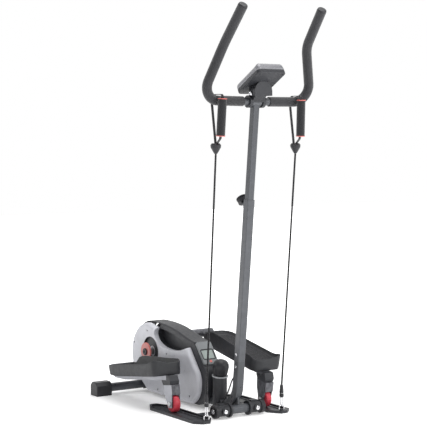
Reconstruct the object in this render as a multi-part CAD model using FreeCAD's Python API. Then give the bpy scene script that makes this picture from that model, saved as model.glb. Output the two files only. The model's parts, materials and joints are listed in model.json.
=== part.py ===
"""Compact stand-up strider: folding-free base, telescoping mast, elastic pull cords.

Frame: +Z up, floor at Z = 0, the mast end is -Y, the rider stands over the housing and faces -Y.
The rider's right side is -X.  Every right-hand piece is mirrored across X = 0 for the left,
except the cranks and pedals, which stand half a turn apart.  Millimetres.
"""
import FreeCAD, Part
import math
import os

V = FreeCAD.Vector
X_AXIS = V(1, 0, 0)
Y_AXIS = V(0, 1, 0)
Z_AXIS = V(0, 0, 1)
CLEAR = 0.4          # gap between pieces that do not press on each other
FIT = 0.05           # radial clearance of a running fit

# ---- driving dimensions -----------------------------------------------------------------------
# mast
MAST_FOOT = V(0, -194, 190)      # a point on the mast's centre line, just above the base bend
MAST_LEAN = 5.8                  # degrees towards -Y
POST_SQ = 30.0                   # lower tube, square
INNER_SQ = 25.0                  # upper tube, square
WALL = 2.0
POST_TOP_S = 16.0                # the base post ends here, measured along the mast from MAST_FOOT
LOWER_LEN = 596.0
UPPER_INSERT = 260.0
BASE_Z = 33.0
BASE_BEND_R = 90.0

# handlebar
BAR_Z = 1150.0
BAR_R = 14.0
FOAM_R = 17.5
FOAM_START_X = 57.0
BAR_CORNER = V(239, -9, 2)       # from the middle of the cross tube
BAR_MID = V(178, -66, 195)
BAR_TIP = V(169, -166, 318)
BAR_CORNER_R = 55.0
BAR_MID_R = 120.0

# front feet and wheels
FRONT_Y = -187.0
FRONT_Z = 27.0
FRONT_TUBE_R = 17.0
CAP_IN_X = 38.0
CAP_FLANGE_R = 27.0
CAP_FLANGE_W = 9.0
CAP_OUT_X = 91.0
BOSS_X = 71.0
TRANSPORT_R = 25.0
TRANSPORT_W = 18.0

# rear foot
REAR_Y = 449.0
REAR_Z = 27.0
REAR_HALF = 256.0
REAR_TUBE_R = 17.0
REAR_FOOT = (66.0, 58.0, 54.0)        # length across, depth, height

# tracks
TRACK_X0 = 126.0
TRACK_X1 = 214.0
TRACK_TOP = 4.0
TRACK_RIM = 10.0
RING_Y = -229.0
RING_X = 167.0
RING_R = 11.0
RING_WIRE = 2.0
TIE_Y = -112.0                   # cross strap that carries both tracks
TIE_REACH = 82.0                 # how far it runs under each track
TIE_BOLT_X = (139.0, 201.0)

# crank and pedals
CRANK_Y = 345.0
CRANK_Z = 175.0
CRANK_R = 100.0
CRANK_DROP = 41.7                # degrees: the right crank points this far below +Y
CRANK_X = (64.0, 74.0)            # inner and outer face of a crank arm
SLEEVE_X = 88.0                  # inner end of the pedal arm's pin sleeve
LINK = 439.0                     # wheel axle to crank pin
WHEEL_R = 32.0
WHEEL_X = 170.0
WHEEL_W = 24.0
AXLE_Z = TRACK_TOP + WHEEL_R
TRAY_SET = 17.5                  # degrees between the tray and the line from axle to pin
TRAY_X0 = 110.0
TRAY_X1 = 240.0
TRAY_U0 = 7.0
TRAY_U1 = 384.0
TRAY_W0 = 105.0
TRAY_W1 = 158.0
TRAY_WALL = 4.0
TRAY_FLOOR = 139.0                # where the sole rests, above the wheel axle

# housing
SHELL_HALF = 36.0
COVER_FACE = 56.0
SKIN = 3.0
REAR_LOBE = (372.0, 157.0, 135.0)     # Y, Z, radius of the round rear
FRONT_LOBE = (50.0, 98.0, 92.0)
BOTTOM_Z = 10.0
SLOPE_TOP = (57.0, 247.0)             # Y, Z where the front slope starts
SLOPE_LOW = (-12.0, 161.0)
COVER_INSET = 7.0
COVER_ROUND = 15.0
COVER_SETBACK = 34.0                  # how far the covers stop short of the shell's front
COVER_SKIN = 8.0                      # wall along the rim, thick enough to hold the rounding
BAND_ROUND = 6.0
GRIP_ELLIPSE = (179.0, 258.0, 138.0, 59.0, -4.2)   # Y, Z, half axes, tilt
GRIP_BAND = 22.0
CRANK_WELL_R = 58.0
CRANK_WELL_X = 47.0
COLUMN_Y = -66.0
COLUMN_R = 27.5
COLUMN_TOP = 126.0
DIAL_TILT = 8.0
DIAL_HEIGHT = 66.0
KNOB_R = 30.5

# drive
FLYWHEEL_Y = 62.0
FLYWHEEL_Z = 122.0
FLYWHEEL_R = 62.0
PULLEY_R = 44.0
PULLEY_HOLES = (28.0, 9.0)           # circle they lie on, radius of each
SMALL_PULLEY_R = 14.0
BELT_X = 22.0
BELT_W = 12.0
BELT_T = 3.0
PLATE_X = 34.0
MAGNET_PIVOT = (97.0, 183.0)

# elastic cords and stirrups
GRIP_R = 15.5
STIRRUP_X = 172.0
BEAD_Z = 985.0
CORD_R = 3.6
SLEEVE_TOP = 98.0

LEAN = math.radians(MAST_LEAN)
MAST_DIR = V(0, -math.sin(LEAN), math.cos(LEAN))
MAST_NORMAL = V(0, math.cos(LEAN), math.sin(LEAN))     # towards the rider
MIDDLE_Y = 14.0                  # middle of the machine, taken off every Y at the end
PARTS = {}


# ---- helpers ----------------------------------------------------------------------------------
def add(name, *solids):
    """Keep one node; several solids stay separate pieces inside it."""
    PARTS[name] = solids[0] if len(solids) == 1 else Part.makeCompound(list(solids))


def both(name, shape):
    """The right-hand piece as built and its mirror on the left."""
    add("right_" + name, shape)
    add("left_" + name, mirrored(shape))


def pair(name, shape):
    """A right-hand piece and its mirror, kept as two solids in one node."""
    add(name, shape, mirrored(shape))


def mirrored(shape):
    return shape.mirror(V(0, 0, 0), X_AXIS)


def fuse(*shapes):
    out = shapes[0].fuse(list(shapes[1:]))
    return out.removeSplitter()


def block(x0, x1, y0, y1, z0, z1):
    return Part.makeBox(x1 - x0, y1 - y0, z1 - z0, V(x0, y0, z0))


def rod(start, end, radius):
    span = end - start
    return Part.makeCylinder(radius, span.Length, start, span)


def pipe_ring(start, end, outer, inner):
    return rod(start, end, outer).cut(rod(start, end, inner))


def polygon_yz(points, x0, x1):
    """Extrude an outline given as (Y, Z) pairs from x0 to x1."""
    wire = Part.makePolygon([V(x0, y, z) for y, z in points + points[:1]])
    return Part.Face(wire).extrude(V(x1 - x0, 0, 0))


def polygon_xy(points, z0, z1):
    wire = Part.makePolygon([V(x, y, z0) for x, y in points + points[:1]])
    return Part.Face(wire).extrude(V(0, 0, z1 - z0))


def rounded_slab(x0, x1, y0, y1, z0, z1, radius):
    """A block with its four upright edges rounded."""
    slab = block(x0, x1, y0, y1, z0, z1)
    upright = [e for e in slab.Edges if abs(e.Vertexes[0].Z - e.Vertexes[1].Z) > 0.9 * (z1 - z0)]
    return slab.makeFillet(radius, upright)


def fillet_path(points, radii):
    """Straight runs through the points, each inner corner replaced by a tangent arc."""
    edges = []
    last = points[0]
    for before, corner, after, radius in zip(points, points[1:], points[2:], radii):
        to_before = (before - corner).normalize()
        to_after = (after - corner).normalize()
        half = to_before.getAngle(to_after) / 2
        reach = radius / math.tan(half)
        start = corner + to_before * reach
        end = corner + to_after * reach
        bisector = (to_before + to_after).normalize()
        middle = corner + bisector * (radius / math.sin(half) - radius)
        edges.append(Part.LineSegment(last, start).toShape())
        edges.append(Part.Arc(start, middle, end).toShape())
        last = end
    edges.append(Part.LineSegment(last, points[-1]).toShape())
    return Part.Wire(edges)


def round_sweep(path, radius):
    start = path.Edges[0].valueAt(path.Edges[0].FirstParameter)
    tangent = path.Edges[0].tangentAt(path.Edges[0].FirstParameter)
    circle = Part.Wire(Part.makeCircle(radius, start, tangent))
    return Part.Wire(path).makePipeShell([circle], True, False)


def square_sweep(path, size, corner):
    """Sweep a rounded square, its sides along X, along a path that lies in the YZ plane."""
    start = path.Edges[0].valueAt(path.Edges[0].FirstParameter)
    tangent = path.Edges[0].tangentAt(path.Edges[0].FirstParameter)
    return Part.Wire(path).makePipeShell([square_wire(start, tangent, size, corner)], True, False)


def square_wire(centre, normal, size, corner):
    side = normal.cross(X_AXIS).normalize()
    half = size / 2
    inner = half - corner
    edges = []
    for quarter in range(4):
        turn = FreeCAD.Rotation(normal, 90 * quarter)
        u = turn.multVec(X_AXIS)
        v = turn.multVec(side)
        a = centre + u * half - v * inner
        b = centre + u * half + v * inner
        c = centre + u * inner + v * half
        middle = centre + (u + v) * (inner + corner * math.sqrt(0.5))
        edges.append(Part.LineSegment(a, b).toShape())
        edges.append(Part.Arc(b, middle, c).toShape())
    return Part.Wire(Part.__sortEdges__(edges))


def square_tube(start, end, size, wall, corner=3.0):
    span = end - start
    outer = Part.Face(square_wire(start, span, size, corner)).extrude(span)
    inner = Part.Face(square_wire(start, span, size - 2 * wall, max(corner - wall, 0.8))).extrude(span)
    return outer.cut(inner)


def on_mast(distance, rearward=0.0, x=0.0):
    """A point at a distance up the mast from its foot, and so far towards the rider."""
    return MAST_FOOT + MAST_DIR * distance + MAST_NORMAL * rearward + V(x, 0, 0)


def round_outer_edges(shape, x_face, radius, above=0.0):
    """Round the edges that lie in the plane X = x_face and reach higher than above."""
    edges = [e for e in shape.Edges
             if all(abs(e.valueAt(t).x - x_face) < 1e-6 for t in (e.FirstParameter, e.LastParameter))
             and abs(e.valueAt((e.FirstParameter + e.LastParameter) / 2).x - x_face) < 1e-6
             and e.BoundBox.ZMax > above]
    return shape.makeFillet(radius, edges)


# ---- base frame -------------------------------------------------------------------------------
def mast_at_z(z):
    return on_mast((z - MAST_FOOT.z) / math.cos(LEAN))


def main_frame():
    """One bent square tube with its bearing plates, rear saddle, track tie and front gusset."""
    corner = mast_at_z(BASE_Z)
    rear_end = V(0, REAR_Y - REAR_TUBE_R - 1, BASE_Z)
    path = fillet_path([on_mast(POST_TOP_S), corner, rear_end], [BASE_BEND_R])
    bore_sq = POST_SQ - 2 * WALL
    hollow = square_sweep(path, bore_sq, 1.0)
    tube = square_sweep(path, POST_SQ, 3.0).cut(hollow)
    spigot_low = square_tube(on_mast(POST_TOP_S - 55), on_mast(POST_TOP_S), bore_sq + 0.2, 3.0, 1.0)
    spigot_high = square_tube(on_mast(POST_TOP_S - 12), on_mast(POST_TOP_S + 55), bore_sq - 0.4, 3.0, 1.2)
    plates = [bearing_plate(side) for side in (-1, 1)]
    ties = [block(-PLATE_X - 3, PLATE_X + 3, y, y + 30, BASE_Z - 14, BASE_Z - 9)
            for y in (FLYWHEEL_Y - 10, CRANK_Y)]
    track_tie = block(-TRACK_X0 - TIE_REACH, TRACK_X0 + TIE_REACH, TIE_Y - 16, TIE_Y + 16, 0, 1.6)
    tie_beam = block(-TRACK_X0 + 1, TRACK_X0 - 1, TIE_Y - 16, TIE_Y + 16, 1.2, 8)
    tie_post = block(-14, 14, TIE_Y, TIE_Y + 16, 0, BASE_Z - POST_SQ / 2 + 2)
    saddle = pipe_ring(V(-30, REAR_Y, REAR_Z), V(30, REAR_Y, REAR_Z), REAR_TUBE_R + 4, REAR_TUBE_R)
    saddle = saddle.cut(block(-40, 40, REAR_Y - 2, REAR_Y + 60, 0, 100)).cut(hollow)
    gusset = polygon_yz([(FRONT_Y - 6, FRONT_Z + 10), (FRONT_Y + 10, FRONT_Z - 8), (-120, 26),
                         (-130, 50), (-170, 82), (FRONT_Y, 74)], -4, 4).cut(hollow)
    front_tube = pipe_ring(V(-CAP_OUT_X + 6.5, FRONT_Y, FRONT_Z), V(CAP_OUT_X - 6.5, FRONT_Y, FRONT_Z),
                           FRONT_TUBE_R, FRONT_TUBE_R - 2.5)
    bore = rod(V(-10, FRONT_Y, FRONT_Z), V(10, FRONT_Y, FRONT_Z), FRONT_TUBE_R - 1)
    return fuse(tube, spigot_low, spigot_high, *plates, *ties, tie_post, track_tie, tie_beam, saddle,
                gusset.cut(bore), front_tube)


def bearing_plate(side):
    """Upright plate that holds the crank bearing, the flywheel axle and the magnet bracket's pin."""
    x0 = side * PLATE_X
    x1 = side * (PLATE_X + 3)
    low = BASE_Z - 14
    pin_y, pin_z = MAGNET_PIVOT
    outline = [(FLYWHEEL_Y - 20, low), (FLYWHEEL_Y - 18, FLYWHEEL_Z + 12), (pin_y - 12, pin_z + 10),
               (pin_y + 10, pin_z + 10), (FLYWHEEL_Y + 84, FLYWHEEL_Z + 22), (CRANK_Y - 26, CRANK_Z + 24),
               (CRANK_Y + 26, CRANK_Z + 24), (CRANK_Y + 40, low)]
    plate = polygon_yz(outline, min(x0, x1), max(x0, x1))
    window = polygon_yz([(FLYWHEEL_Y + 76, 74), (FLYWHEEL_Y + 86, FLYWHEEL_Z - 2),
                         (CRANK_Y - 34, CRANK_Z - 32), (CRANK_Y - 20, 74)],
                        min(x0, x1) - 1, max(x0, x1) + 1)
    holes = [rod(V(x0 - 5, CRANK_Y, CRANK_Z), V(x1 + 5, CRANK_Y, CRANK_Z), 16.0),
             rod(V(x0 - 5, FLYWHEEL_Y, FLYWHEEL_Z), V(x1 + 5, FLYWHEEL_Y, FLYWHEEL_Z), 5.0),
             rod(V(x0 - 5, pin_y, pin_z), V(x1 + 5, pin_y, pin_z), 3.0)]
    return plate.cut([window] + holes)


def front_cap():
    """Moulded cap over the right end of the front tube: inner foot flange, sleeve, bolt boss."""
    sleeve = rod(V(-CAP_OUT_X, FRONT_Y, FRONT_Z), V(-CAP_IN_X, FRONT_Y, FRONT_Z), FRONT_TUBE_R + 4)
    flange = rod(V(-CAP_IN_X - CAP_FLANGE_W, FRONT_Y, FRONT_Z), V(-CAP_IN_X, FRONT_Y, FRONT_Z),
                 CAP_FLANGE_R)
    flange = flange.makeFillet(2.0, flange.Edges)
    boss = rod(V(-BOSS_X, FRONT_Y, FRONT_Z), V(-BOSS_X, FRONT_Y - 27, FRONT_Z), 15.0)
    boss = boss.makeFillet(2.0, [e for e in boss.Edges if e.Length > 90 and e.Vertexes[0].Y < -200])
    lug = block(-BOSS_X - 12, -BOSS_X + 12, FRONT_Y, FRONT_Y + 24, FRONT_Z + 8, FRONT_Z + 25)
    bore = rod(V(-CAP_OUT_X + 6, FRONT_Y, FRONT_Z), V(0, FRONT_Y, FRONT_Z), FRONT_TUBE_R)
    bolt_hole = rod(V(-BOSS_X, FRONT_Y - 40, FRONT_Z), V(-BOSS_X, FRONT_Y, FRONT_Z), 4.5)
    well = rod(V(-BOSS_X, FRONT_Y - 28, FRONT_Z), V(-BOSS_X, FRONT_Y - 22, FRONT_Z), 10.0)
    stub = rod(V(-CAP_OUT_X - TRANSPORT_W - 1, FRONT_Y, FRONT_Z), V(-CAP_OUT_X, FRONT_Y, FRONT_Z), 6.0)
    return fuse(sleeve, flange, boss, lug, stub).cut([bore, bolt_hole, well])


def transport_wheel():
    x0 = -CAP_OUT_X - 0.5
    x1 = x0 - TRANSPORT_W
    wheel = rod(V(x1, FRONT_Y, FRONT_Z), V(x0, FRONT_Y, FRONT_Z), TRANSPORT_R)
    wheel = wheel.makeFillet(3.0, wheel.Edges)
    dish = pipe_ring(V(x1 - 1, FRONT_Y, FRONT_Z), V(x1 + 3, FRONT_Y, FRONT_Z), 18.0, 11.0)
    bore = rod(V(x1 - 1, FRONT_Y, FRONT_Z), V(x0 + 1, FRONT_Y, FRONT_Z), 6.0 + FIT)
    return wheel.cut([dish, bore])


def hex_bolt(point, direction, head_r, head_h, shank_r, shank_len):
    """A domed bolt: the head stands on the point and the shank runs back from it."""
    head = rod(point, point + direction * head_h, head_r)
    top = [e for e in head.Edges if (e.BoundBox.Center - point - direction * head_h).Length < 0.2]
    head = head.makeFillet(min(head_h, head_r) * 0.45, top)
    socket = rod(point + direction * (head_h * 0.5), point + direction * (head_h + 1), head_r * 0.42)
    shank = rod(point - direction * shank_len, point, shank_r)
    return head.fuse(shank).cut(socket).removeSplitter()


def build_base():
    add("main_frame", main_frame())
    pair("front_caps", front_cap())
    both("transport_wheel", transport_wheel())
    bolts = []
    for side in (-1, 1):
        seat = V(side * BOSS_X, FRONT_Y - 22, FRONT_Z)
        bolts.append(hex_bolt(seat, V(0, -1, 0), 8.5, 6.5, 4.0, 4.0))
        end = V(side * (CAP_OUT_X + TRANSPORT_W + 1), FRONT_Y, FRONT_Z)
        bolts.append(hex_bolt(end, X_AXIS * side, 9.0, 3.0, 2.5, 0.5))
    for side in (-1, 1):
        for x in TIE_BOLT_X:
            bolts.append(hex_bolt(V(side * x, TIE_Y, TRACK_TOP), Z_AXIS, 5.0, 1.2, 2.0, 2.1))
    rear = pipe_ring(V(-REAR_HALF + 20, REAR_Y, REAR_Z), V(REAR_HALF - 20, REAR_Y, REAR_Z),
                     REAR_TUBE_R, REAR_TUBE_R - WALL)
    add("rear_stabilizer", rear)
    pair("rear_feet", rear_foot())
    track, ring = track_and_ring()
    both("track", track)
    pair("cord_rings", ring)
    return bolts


def rear_foot():
    """Eight-sided moulded end cap that stands on the floor."""
    across, depth, top = REAR_FOOT
    half_y = depth / 2
    cut = 13.0
    outline = [(REAR_Y - half_y, 0), (REAR_Y + half_y, 0), (REAR_Y + half_y, top - cut),
               (REAR_Y + half_y - cut, top), (REAR_Y - half_y + cut, top), (REAR_Y - half_y, top - cut)]
    foot = polygon_yz(outline, -REAR_HALF, -REAR_HALF + across)
    foot = round_outer_edges(foot, -REAR_HALF, 4.0)
    bore = rod(V(-REAR_HALF + 19.5, REAR_Y, REAR_Z), V(0, REAR_Y, REAR_Z), REAR_TUBE_R)
    return foot.cut(bore)


def track_and_ring():
    """Ribbed floor track for the pedal wheel, with the ring that holds the elastic cord."""
    front = RING_Y - 12
    middle = (TRACK_X0 + TRACK_X1) / 2
    outline = [(-TRACK_X1, -214), (-middle - 16, front), (-middle + 12, front), (-TRACK_X0, -198),
               (-TRACK_X0, 86), (-middle + 16, 142), (-middle - 12, 142), (-TRACK_X1, 86)]
    inner = [(-TRACK_X1 + 7, -196), (-middle - 12, -218), (-middle + 8, -218), (-TRACK_X0 - 7, -190),
             (-TRACK_X0 - 7, 82), (-middle + 12, 132), (-middle - 8, 132), (-TRACK_X1 + 7, 82)]
    track = polygon_xy(outline, 0, TRACK_RIM).cut(polygon_xy(inner, TRACK_TOP, TRACK_RIM + 1))
    for x in (-WHEEL_X - 22, -WHEEL_X + 22):
        track = track.fuse(rounded_slab(x - 3, x + 3, -180, 96, TRACK_TOP - 1, TRACK_TOP + 2.5, 2.9))
    tie_pocket = block(-TRACK_X0 - TIE_REACH - 0.5, -TRACK_X0 + 10, TIE_Y - 16.5, TIE_Y + 16.5, -1, 1.8)
    track = track.removeSplitter().cut(tie_pocket)
    lug = block(-RING_X - 6, -RING_X + 6, RING_Y - 5, RING_Y + 5, TRACK_TOP, 15.0)
    lug = lug.makeFillet(2.0, [e for e in lug.Edges if e.Vertexes[0].Z > 14 and e.Vertexes[1].Z > 14])
    centre = V(-RING_X, RING_Y, 19.0)
    ring = Part.makeTorus(RING_R, RING_WIRE, centre, Y_AXIS)
    passage = Part.makeTorus(RING_R, RING_WIRE + FIT * 4, centre, Y_AXIS)
    track = track.fuse(lug).removeSplitter().cut(passage)
    holes = [rod(V(-x, TIE_Y, -1), V(-x, TIE_Y, 20), 2.2) for x in TIE_BOLT_X]
    return track.cut(holes), ring


# ---- mast -------------------------------------------------------------------------------------
def build_mast():
    foot = on_mast(POST_TOP_S + 0.3)
    head = on_mast(POST_TOP_S + LOWER_LEN)
    tube = square_tube(foot, head, POST_SQ, WALL)
    knob_s = POST_TOP_S + LOWER_LEN - 34
    axis = (MAST_NORMAL + MAST_DIR).normalize()
    neck_start = on_mast(knob_s, POST_SQ / 2 - 4)
    boss = rod(neck_start, neck_start + axis * 27, 9.0)
    pin_path = rod(neck_start - axis * 30, neck_start + axis * 60, 4.0 + FIT)
    inside = Part.Face(square_wire(foot, MAST_DIR, POST_SQ - 2 * WALL, 1.0)).extrude(head - foot)
    add("lower_mast", tube.fuse(boss.cut(inside)).removeSplitter().cut(pin_path))

    knob_base = neck_start + axis * 29
    body = rod(knob_base, knob_base + axis * 20, 21.0)
    body = body.fuse(Part.makeCone(9, 15, 5, knob_base, axis)).removeSplitter()
    for index in range(18):
        turn = FreeCAD.Rotation(axis, 20 * index)
        flute_at = knob_base + turn.multVec(X_AXIS) * 22.4
        body = body.cut(rod(flute_at - axis * 1, flute_at + axis * 17, 2.4))
    dome = Part.makeSphere(52.0, knob_base + axis * (20 + 5 - 52))
    cap = rod(knob_base + axis * 16, knob_base + axis * 30, 22.5).common(dome)
    stem = rod(neck_start + axis * 12, knob_base + axis * 2, 4.0)
    add("adjust_knob", body.fuse([cap, stem]).removeSplitter())

    bolts = [hex_bolt(on_mast(POST_TOP_S + 80, POST_SQ / 2), MAST_NORMAL, 6.5, 5.0, 3.0, 1.5)]
    for s in (POST_TOP_S - 22, POST_TOP_S + 24):
        bolts.append(hex_bolt(on_mast(s, 0, -POST_SQ / 2), V(-1, 0, 0), 5.5, 3.0, 3.0, 1.5))

    bar_centre = bar_middle()
    top = bar_centre - MAST_DIR * (BAR_R + 0.2)
    bottom = on_mast(POST_TOP_S + LOWER_LEN - UPPER_INSERT)
    upper = square_tube(bottom, top + MAST_DIR * 8, INNER_SQ, WALL, 2.5)
    collar = rod(bar_centre - V(20, 0, 0), bar_centre + V(20, 0, 0), BAR_R + 3)
    bore = rod(bar_centre - V(50, 0, 0), bar_centre + V(50, 0, 0), BAR_R)
    add("upper_mast", fuse(upper, collar).cut(bore))
    return bolts


def bar_middle():
    return on_mast((BAR_Z - MAST_FOOT.z) / math.cos(LEAN))


def bar_path(side):
    """Centre line of one half of the handlebar, from the mast out to the tip."""
    middle = bar_middle()
    points = [middle]
    for offset in (BAR_CORNER, BAR_MID, BAR_TIP):
        points.append(middle + V(offset.x * side, offset.y, offset.z))
    return points


def build_handlebar():
    halves = []
    foams = []
    caps = []
    for side in (-1, 1):
        points = bar_path(side)
        solid = round_sweep(fillet_path(points, [BAR_CORNER_R, BAR_MID_R]), BAR_R)
        tip_dir = (points[3] - points[2]).normalize()
        end_dir = (points[1] - points[0]).normalize()
        start = points[0] + end_dir * FOAM_START_X
        foam_points = [start] + points[1:3] + [points[3] - tip_dir * 1.0]
        foam_path = fillet_path(foam_points, [BAR_CORNER_R, BAR_MID_R])
        foams.append(round_sweep(foam_path, FOAM_R).cut(round_sweep(foam_path, BAR_R)))
        halves.append(solid)
        cap = rod(points[3], points[3] + tip_dir * 6, FOAM_R - 1)
        cap = cap.makeFillet(4.0, [e for e in cap.Edges
                                   if (e.BoundBox.Center - points[3] - tip_dir * 6).Length < 1])
        caps.append(cap)
    bar = fuse(*halves)
    add("handlebar", bar)
    PARTS["upper_mast"] = PARTS["upper_mast"].cut(bar)
    add("bar_foams", *foams)
    add("bar_end_caps", *caps)


# ---- handlebar console ------------------------------------------------------------------------
CONSOLE_TILT = 29.0
CONSOLE_LEN = 152.0
CONSOLE_HALF = 61.0
CONSOLE_DEPTH = 36.0
HINGE_DY = -26.0
HINGE_DZ = 28.0
CONSOLE_FORWARD = 108.0           # far underside edge, from the middle of the bar
CONSOLE_RISE = 100.0


def console_place(shape):
    """Move a piece from the console's own frame to its place above the handlebar.

    In its own frame the screen faces +Z, the far (front) end is at Y = 0 and the near end at
    Y = CONSOLE_LEN, with the underside at Z = 0.
    """
    middle = bar_middle()
    shape = shape.copy()
    shape.rotate(V(0, 0, 0), X_AXIS, -CONSOLE_TILT)
    shape.translate(V(0, middle.y - CONSOLE_FORWARD, middle.z + CONSOLE_RISE))
    return shape


def build_console():
    middle = bar_middle()
    hinge = middle + V(0, HINGE_DY, HINGE_DZ)
    seam = 13.0
    case = rounded_slab(-CONSOLE_HALF, CONSOLE_HALF, 0, CONSOLE_LEN, seam, CONSOLE_DEPTH, 16)
    case = case.makeFillet(3.0, [e for e in case.Edges if e.BoundBox.ZMin > CONSOLE_DEPTH - 0.1])
    window = block(-42, 42, 20, 92, CONSOLE_DEPTH - 3, CONSOLE_DEPTH + 1)
    well = rod(V(0, 122, CONSOLE_DEPTH - 5), V(0, 122, CONSOLE_DEPTH + 1), 9.0)
    inside = rounded_slab(-CONSOLE_HALF + SKIN, CONSOLE_HALF - SKIN, SKIN, CONSOLE_LEN - SKIN, seam - 1,
                          CONSOLE_DEPTH - 8, 13)
    add("console_case", console_place(case.cut([window, inside, well])))
    back = rounded_slab(-CONSOLE_HALF, CONSOLE_HALF, 0, CONSOLE_LEN, 0, seam - 0.2, 16)
    back = back.makeFillet(2.5, [e for e in back.Edges if e.BoundBox.ZMax < 0.1])
    holes = [rod(V(x, 14, -1), V(x, 14, 2), 3.2) for x in (-48, 48)]
    add("console_back", fuse(console_place(back.cut(holes)), console_neck(hinge)))
    add("console_display", console_place(block(-41.7, 41.7, 20.3, 91.7, CONSOLE_DEPTH - 2.9,
                                               CONSOLE_DEPTH - 0.8)))
    button = rod(V(0, 122, CONSOLE_DEPTH - 3.2), V(0, 122, CONSOLE_DEPTH + 1.6), 8.4)
    button = button.makeFillet(1.2, [e for e in button.Edges if e.BoundBox.ZMin > CONSOLE_DEPTH + 1])
    add("console_button", console_place(button))
    mount = rod(hinge - V(24, 0, 0), hinge + V(24, 0, 0), 13.0)
    web = polygon_yz([(hinge.y - 9, hinge.z - 9), (hinge.y + 11, hinge.z - 4), (middle.y + 12, middle.z + 6),
                      (middle.y - 6, middle.z - 14)], -24, 24)
    grip = rod(middle - V(34, 0, 0), middle + V(34, 0, 0), BAR_R + 8)
    grip = grip.cut(block(-22, 22, middle.y - 40, middle.y + 40, middle.z - 60, middle.z - 2))
    grip = grip.cut(block(-21, 21, middle.y + 2, middle.y + 40, middle.z - 40, middle.z + 40))
    pin_hole = rod(hinge - V(60, 0, 0), hinge + V(60, 0, 0), 4.0 + FIT)
    collar_room = rod(middle - V(20.4, 0, 0), middle + V(20.4, 0, 0), BAR_R + 3.3)
    bore = rod(middle - V(60, 0, 0), middle + V(60, 0, 0), BAR_R)
    add("console_mount", fuse(mount, web, grip).cut([pin_hole, collar_room, bore, PARTS["handlebar"]]))
    screw = hex_bolt(hinge - V(36.5, 0, 0), V(-1, 0, 0), 8.0, 7.0, 4.0, 74.0)
    add("console_tilt_screw", screw)


def console_neck(hinge):
    """Arched neck under the console with the two cheeks that turn on the tilt screw."""
    arch_half = 38.0
    front = hinge.y - 26
    top = hinge.z + 44
    low = hinge.z - 8
    face = Part.makePolygon([V(-arch_half, front, low), V(arch_half, front, low),
                             V(arch_half, front, top - arch_half)])
    arc = Part.Arc(V(arch_half, front, top - arch_half), V(0, front, top),
                   V(-arch_half, front, top - arch_half)).toShape()
    close = Part.LineSegment(V(-arch_half, front, top - arch_half), V(-arch_half, front, low)).toShape()
    arch = Part.Face(Part.Wire(face.Edges + [arc, close])).extrude(V(0, 70, 0))
    room = block(-24.6, 24.6, front + 5, front + 90, low - 1, top - 18)
    behind = block(-60, 60, hinge.y + 12, hinge.y + 90, low - 1, top + 30)
    above = console_place(block(-90, 90, -90, CONSOLE_LEN + 60, 0.5, 90))
    pin_hole = rod(hinge - V(60, 0, 0), hinge + V(60, 0, 0), 4.0)
    cheeks_off = [block(x0, x1, hinge.y - 12, hinge.y + 40, low - 1, hinge.z + 13)
                  for x0, x1 in ((-60, -35.5), (35.5, 60))]
    return arch.cut([room, behind, above, pin_hole] + cheeks_off)


# ---- housing ----------------------------------------------------------------------------------
def lobe_point(lobe, degrees, grow=0.0):
    angle = math.radians(degrees)
    return lobe[0] + (lobe[2] + grow) * math.cos(angle), lobe[1] + (lobe[2] + grow) * math.sin(angle)


def slope_point(inset, share):
    """A point on the front slope, pulled in by inset; share runs from 0 at its top to 1."""
    run_y = SLOPE_LOW[0] - SLOPE_TOP[0]
    run_z = SLOPE_LOW[1] - SLOPE_TOP[1]
    length = math.hypot(run_y, run_z)
    return (SLOPE_TOP[0] + share * run_y - inset * run_z / length,
            SLOPE_TOP[1] + share * run_z + inset * run_y / length)


def shell_outline(inset):
    """Side outline of the dark centre band, pulled in by inset all round."""
    def at(point):
        return V(0, point[0], point[1])

    bottom = BOTTOM_Z + inset
    crown_top = V(0, REAR_LOBE[0], REAR_LOBE[1] + REAR_LOBE[2] - inset)
    crown = [crown_top, V(0, 300, 291 - inset), V(0, 232, 284 - inset), V(0, 165, 270 - inset),
             V(0, 108, 255 - inset), at(slope_point(inset, 0.02))]
    nose_low = V(0, 22, bottom)
    heel = V(0, 384 - 0.6 * inset, bottom)
    back_low = at(lobe_point(REAR_LOBE, -36, -inset))
    slope_end = at(slope_point(inset, 1.0))
    spline = Part.BSplineCurve()
    spline.interpolate(crown)
    edges = [Part.Arc(back_low, at(lobe_point(REAR_LOBE, 20, -inset)), crown_top).toShape(),
             spline.toShape(),
             Part.LineSegment(crown[-1], slope_end).toShape(),
             Part.Arc(slope_end, at(lobe_point(FRONT_LOBE, 180, -inset)), nose_low).toShape(),
             Part.LineSegment(nose_low, heel).toShape(),
             Part.LineSegment(heel, back_low).toShape()]
    return Part.Wire(edges)


def cover_outline(inset):
    """Side outline of a silver cover before the hand recess is taken out of it."""
    inset = inset + COVER_INSET

    def lobe(which, degrees):
        y, z = lobe_point(which, degrees, -inset)
        return V(0, y, z)

    bottom = BOTTOM_Z + inset - COVER_INSET
    front_lobe = (FRONT_LOBE[0] + COVER_SETBACK, FRONT_LOBE[1], FRONT_LOBE[2])
    rear_top = lobe(REAR_LOBE, 96)
    rear_low = lobe(REAR_LOBE, -40)
    slope_y, slope_z = slope_point(inset, 0.25)
    slope_start = V(0, slope_y + COVER_SETBACK, slope_z)
    low_y, low_z = slope_point(inset, 1.02)
    slope_end = V(0, low_y + COVER_SETBACK, low_z)
    nose_low = V(0, 18 + 0.5 * inset + COVER_SETBACK, bottom)
    heel = V(0, 382 - inset, bottom)
    edges = [Part.Arc(rear_low, lobe(REAR_LOBE, 20), rear_top).toShape(),
             Part.LineSegment(rear_top, slope_start).toShape(),
             Part.LineSegment(slope_start, slope_end).toShape(),
             Part.Arc(slope_end, lobe(front_lobe, 182), nose_low).toShape(),
             Part.LineSegment(nose_low, heel).toShape(),
             Part.LineSegment(heel, rear_low).toShape()]
    return Part.Wire(edges)


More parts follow.
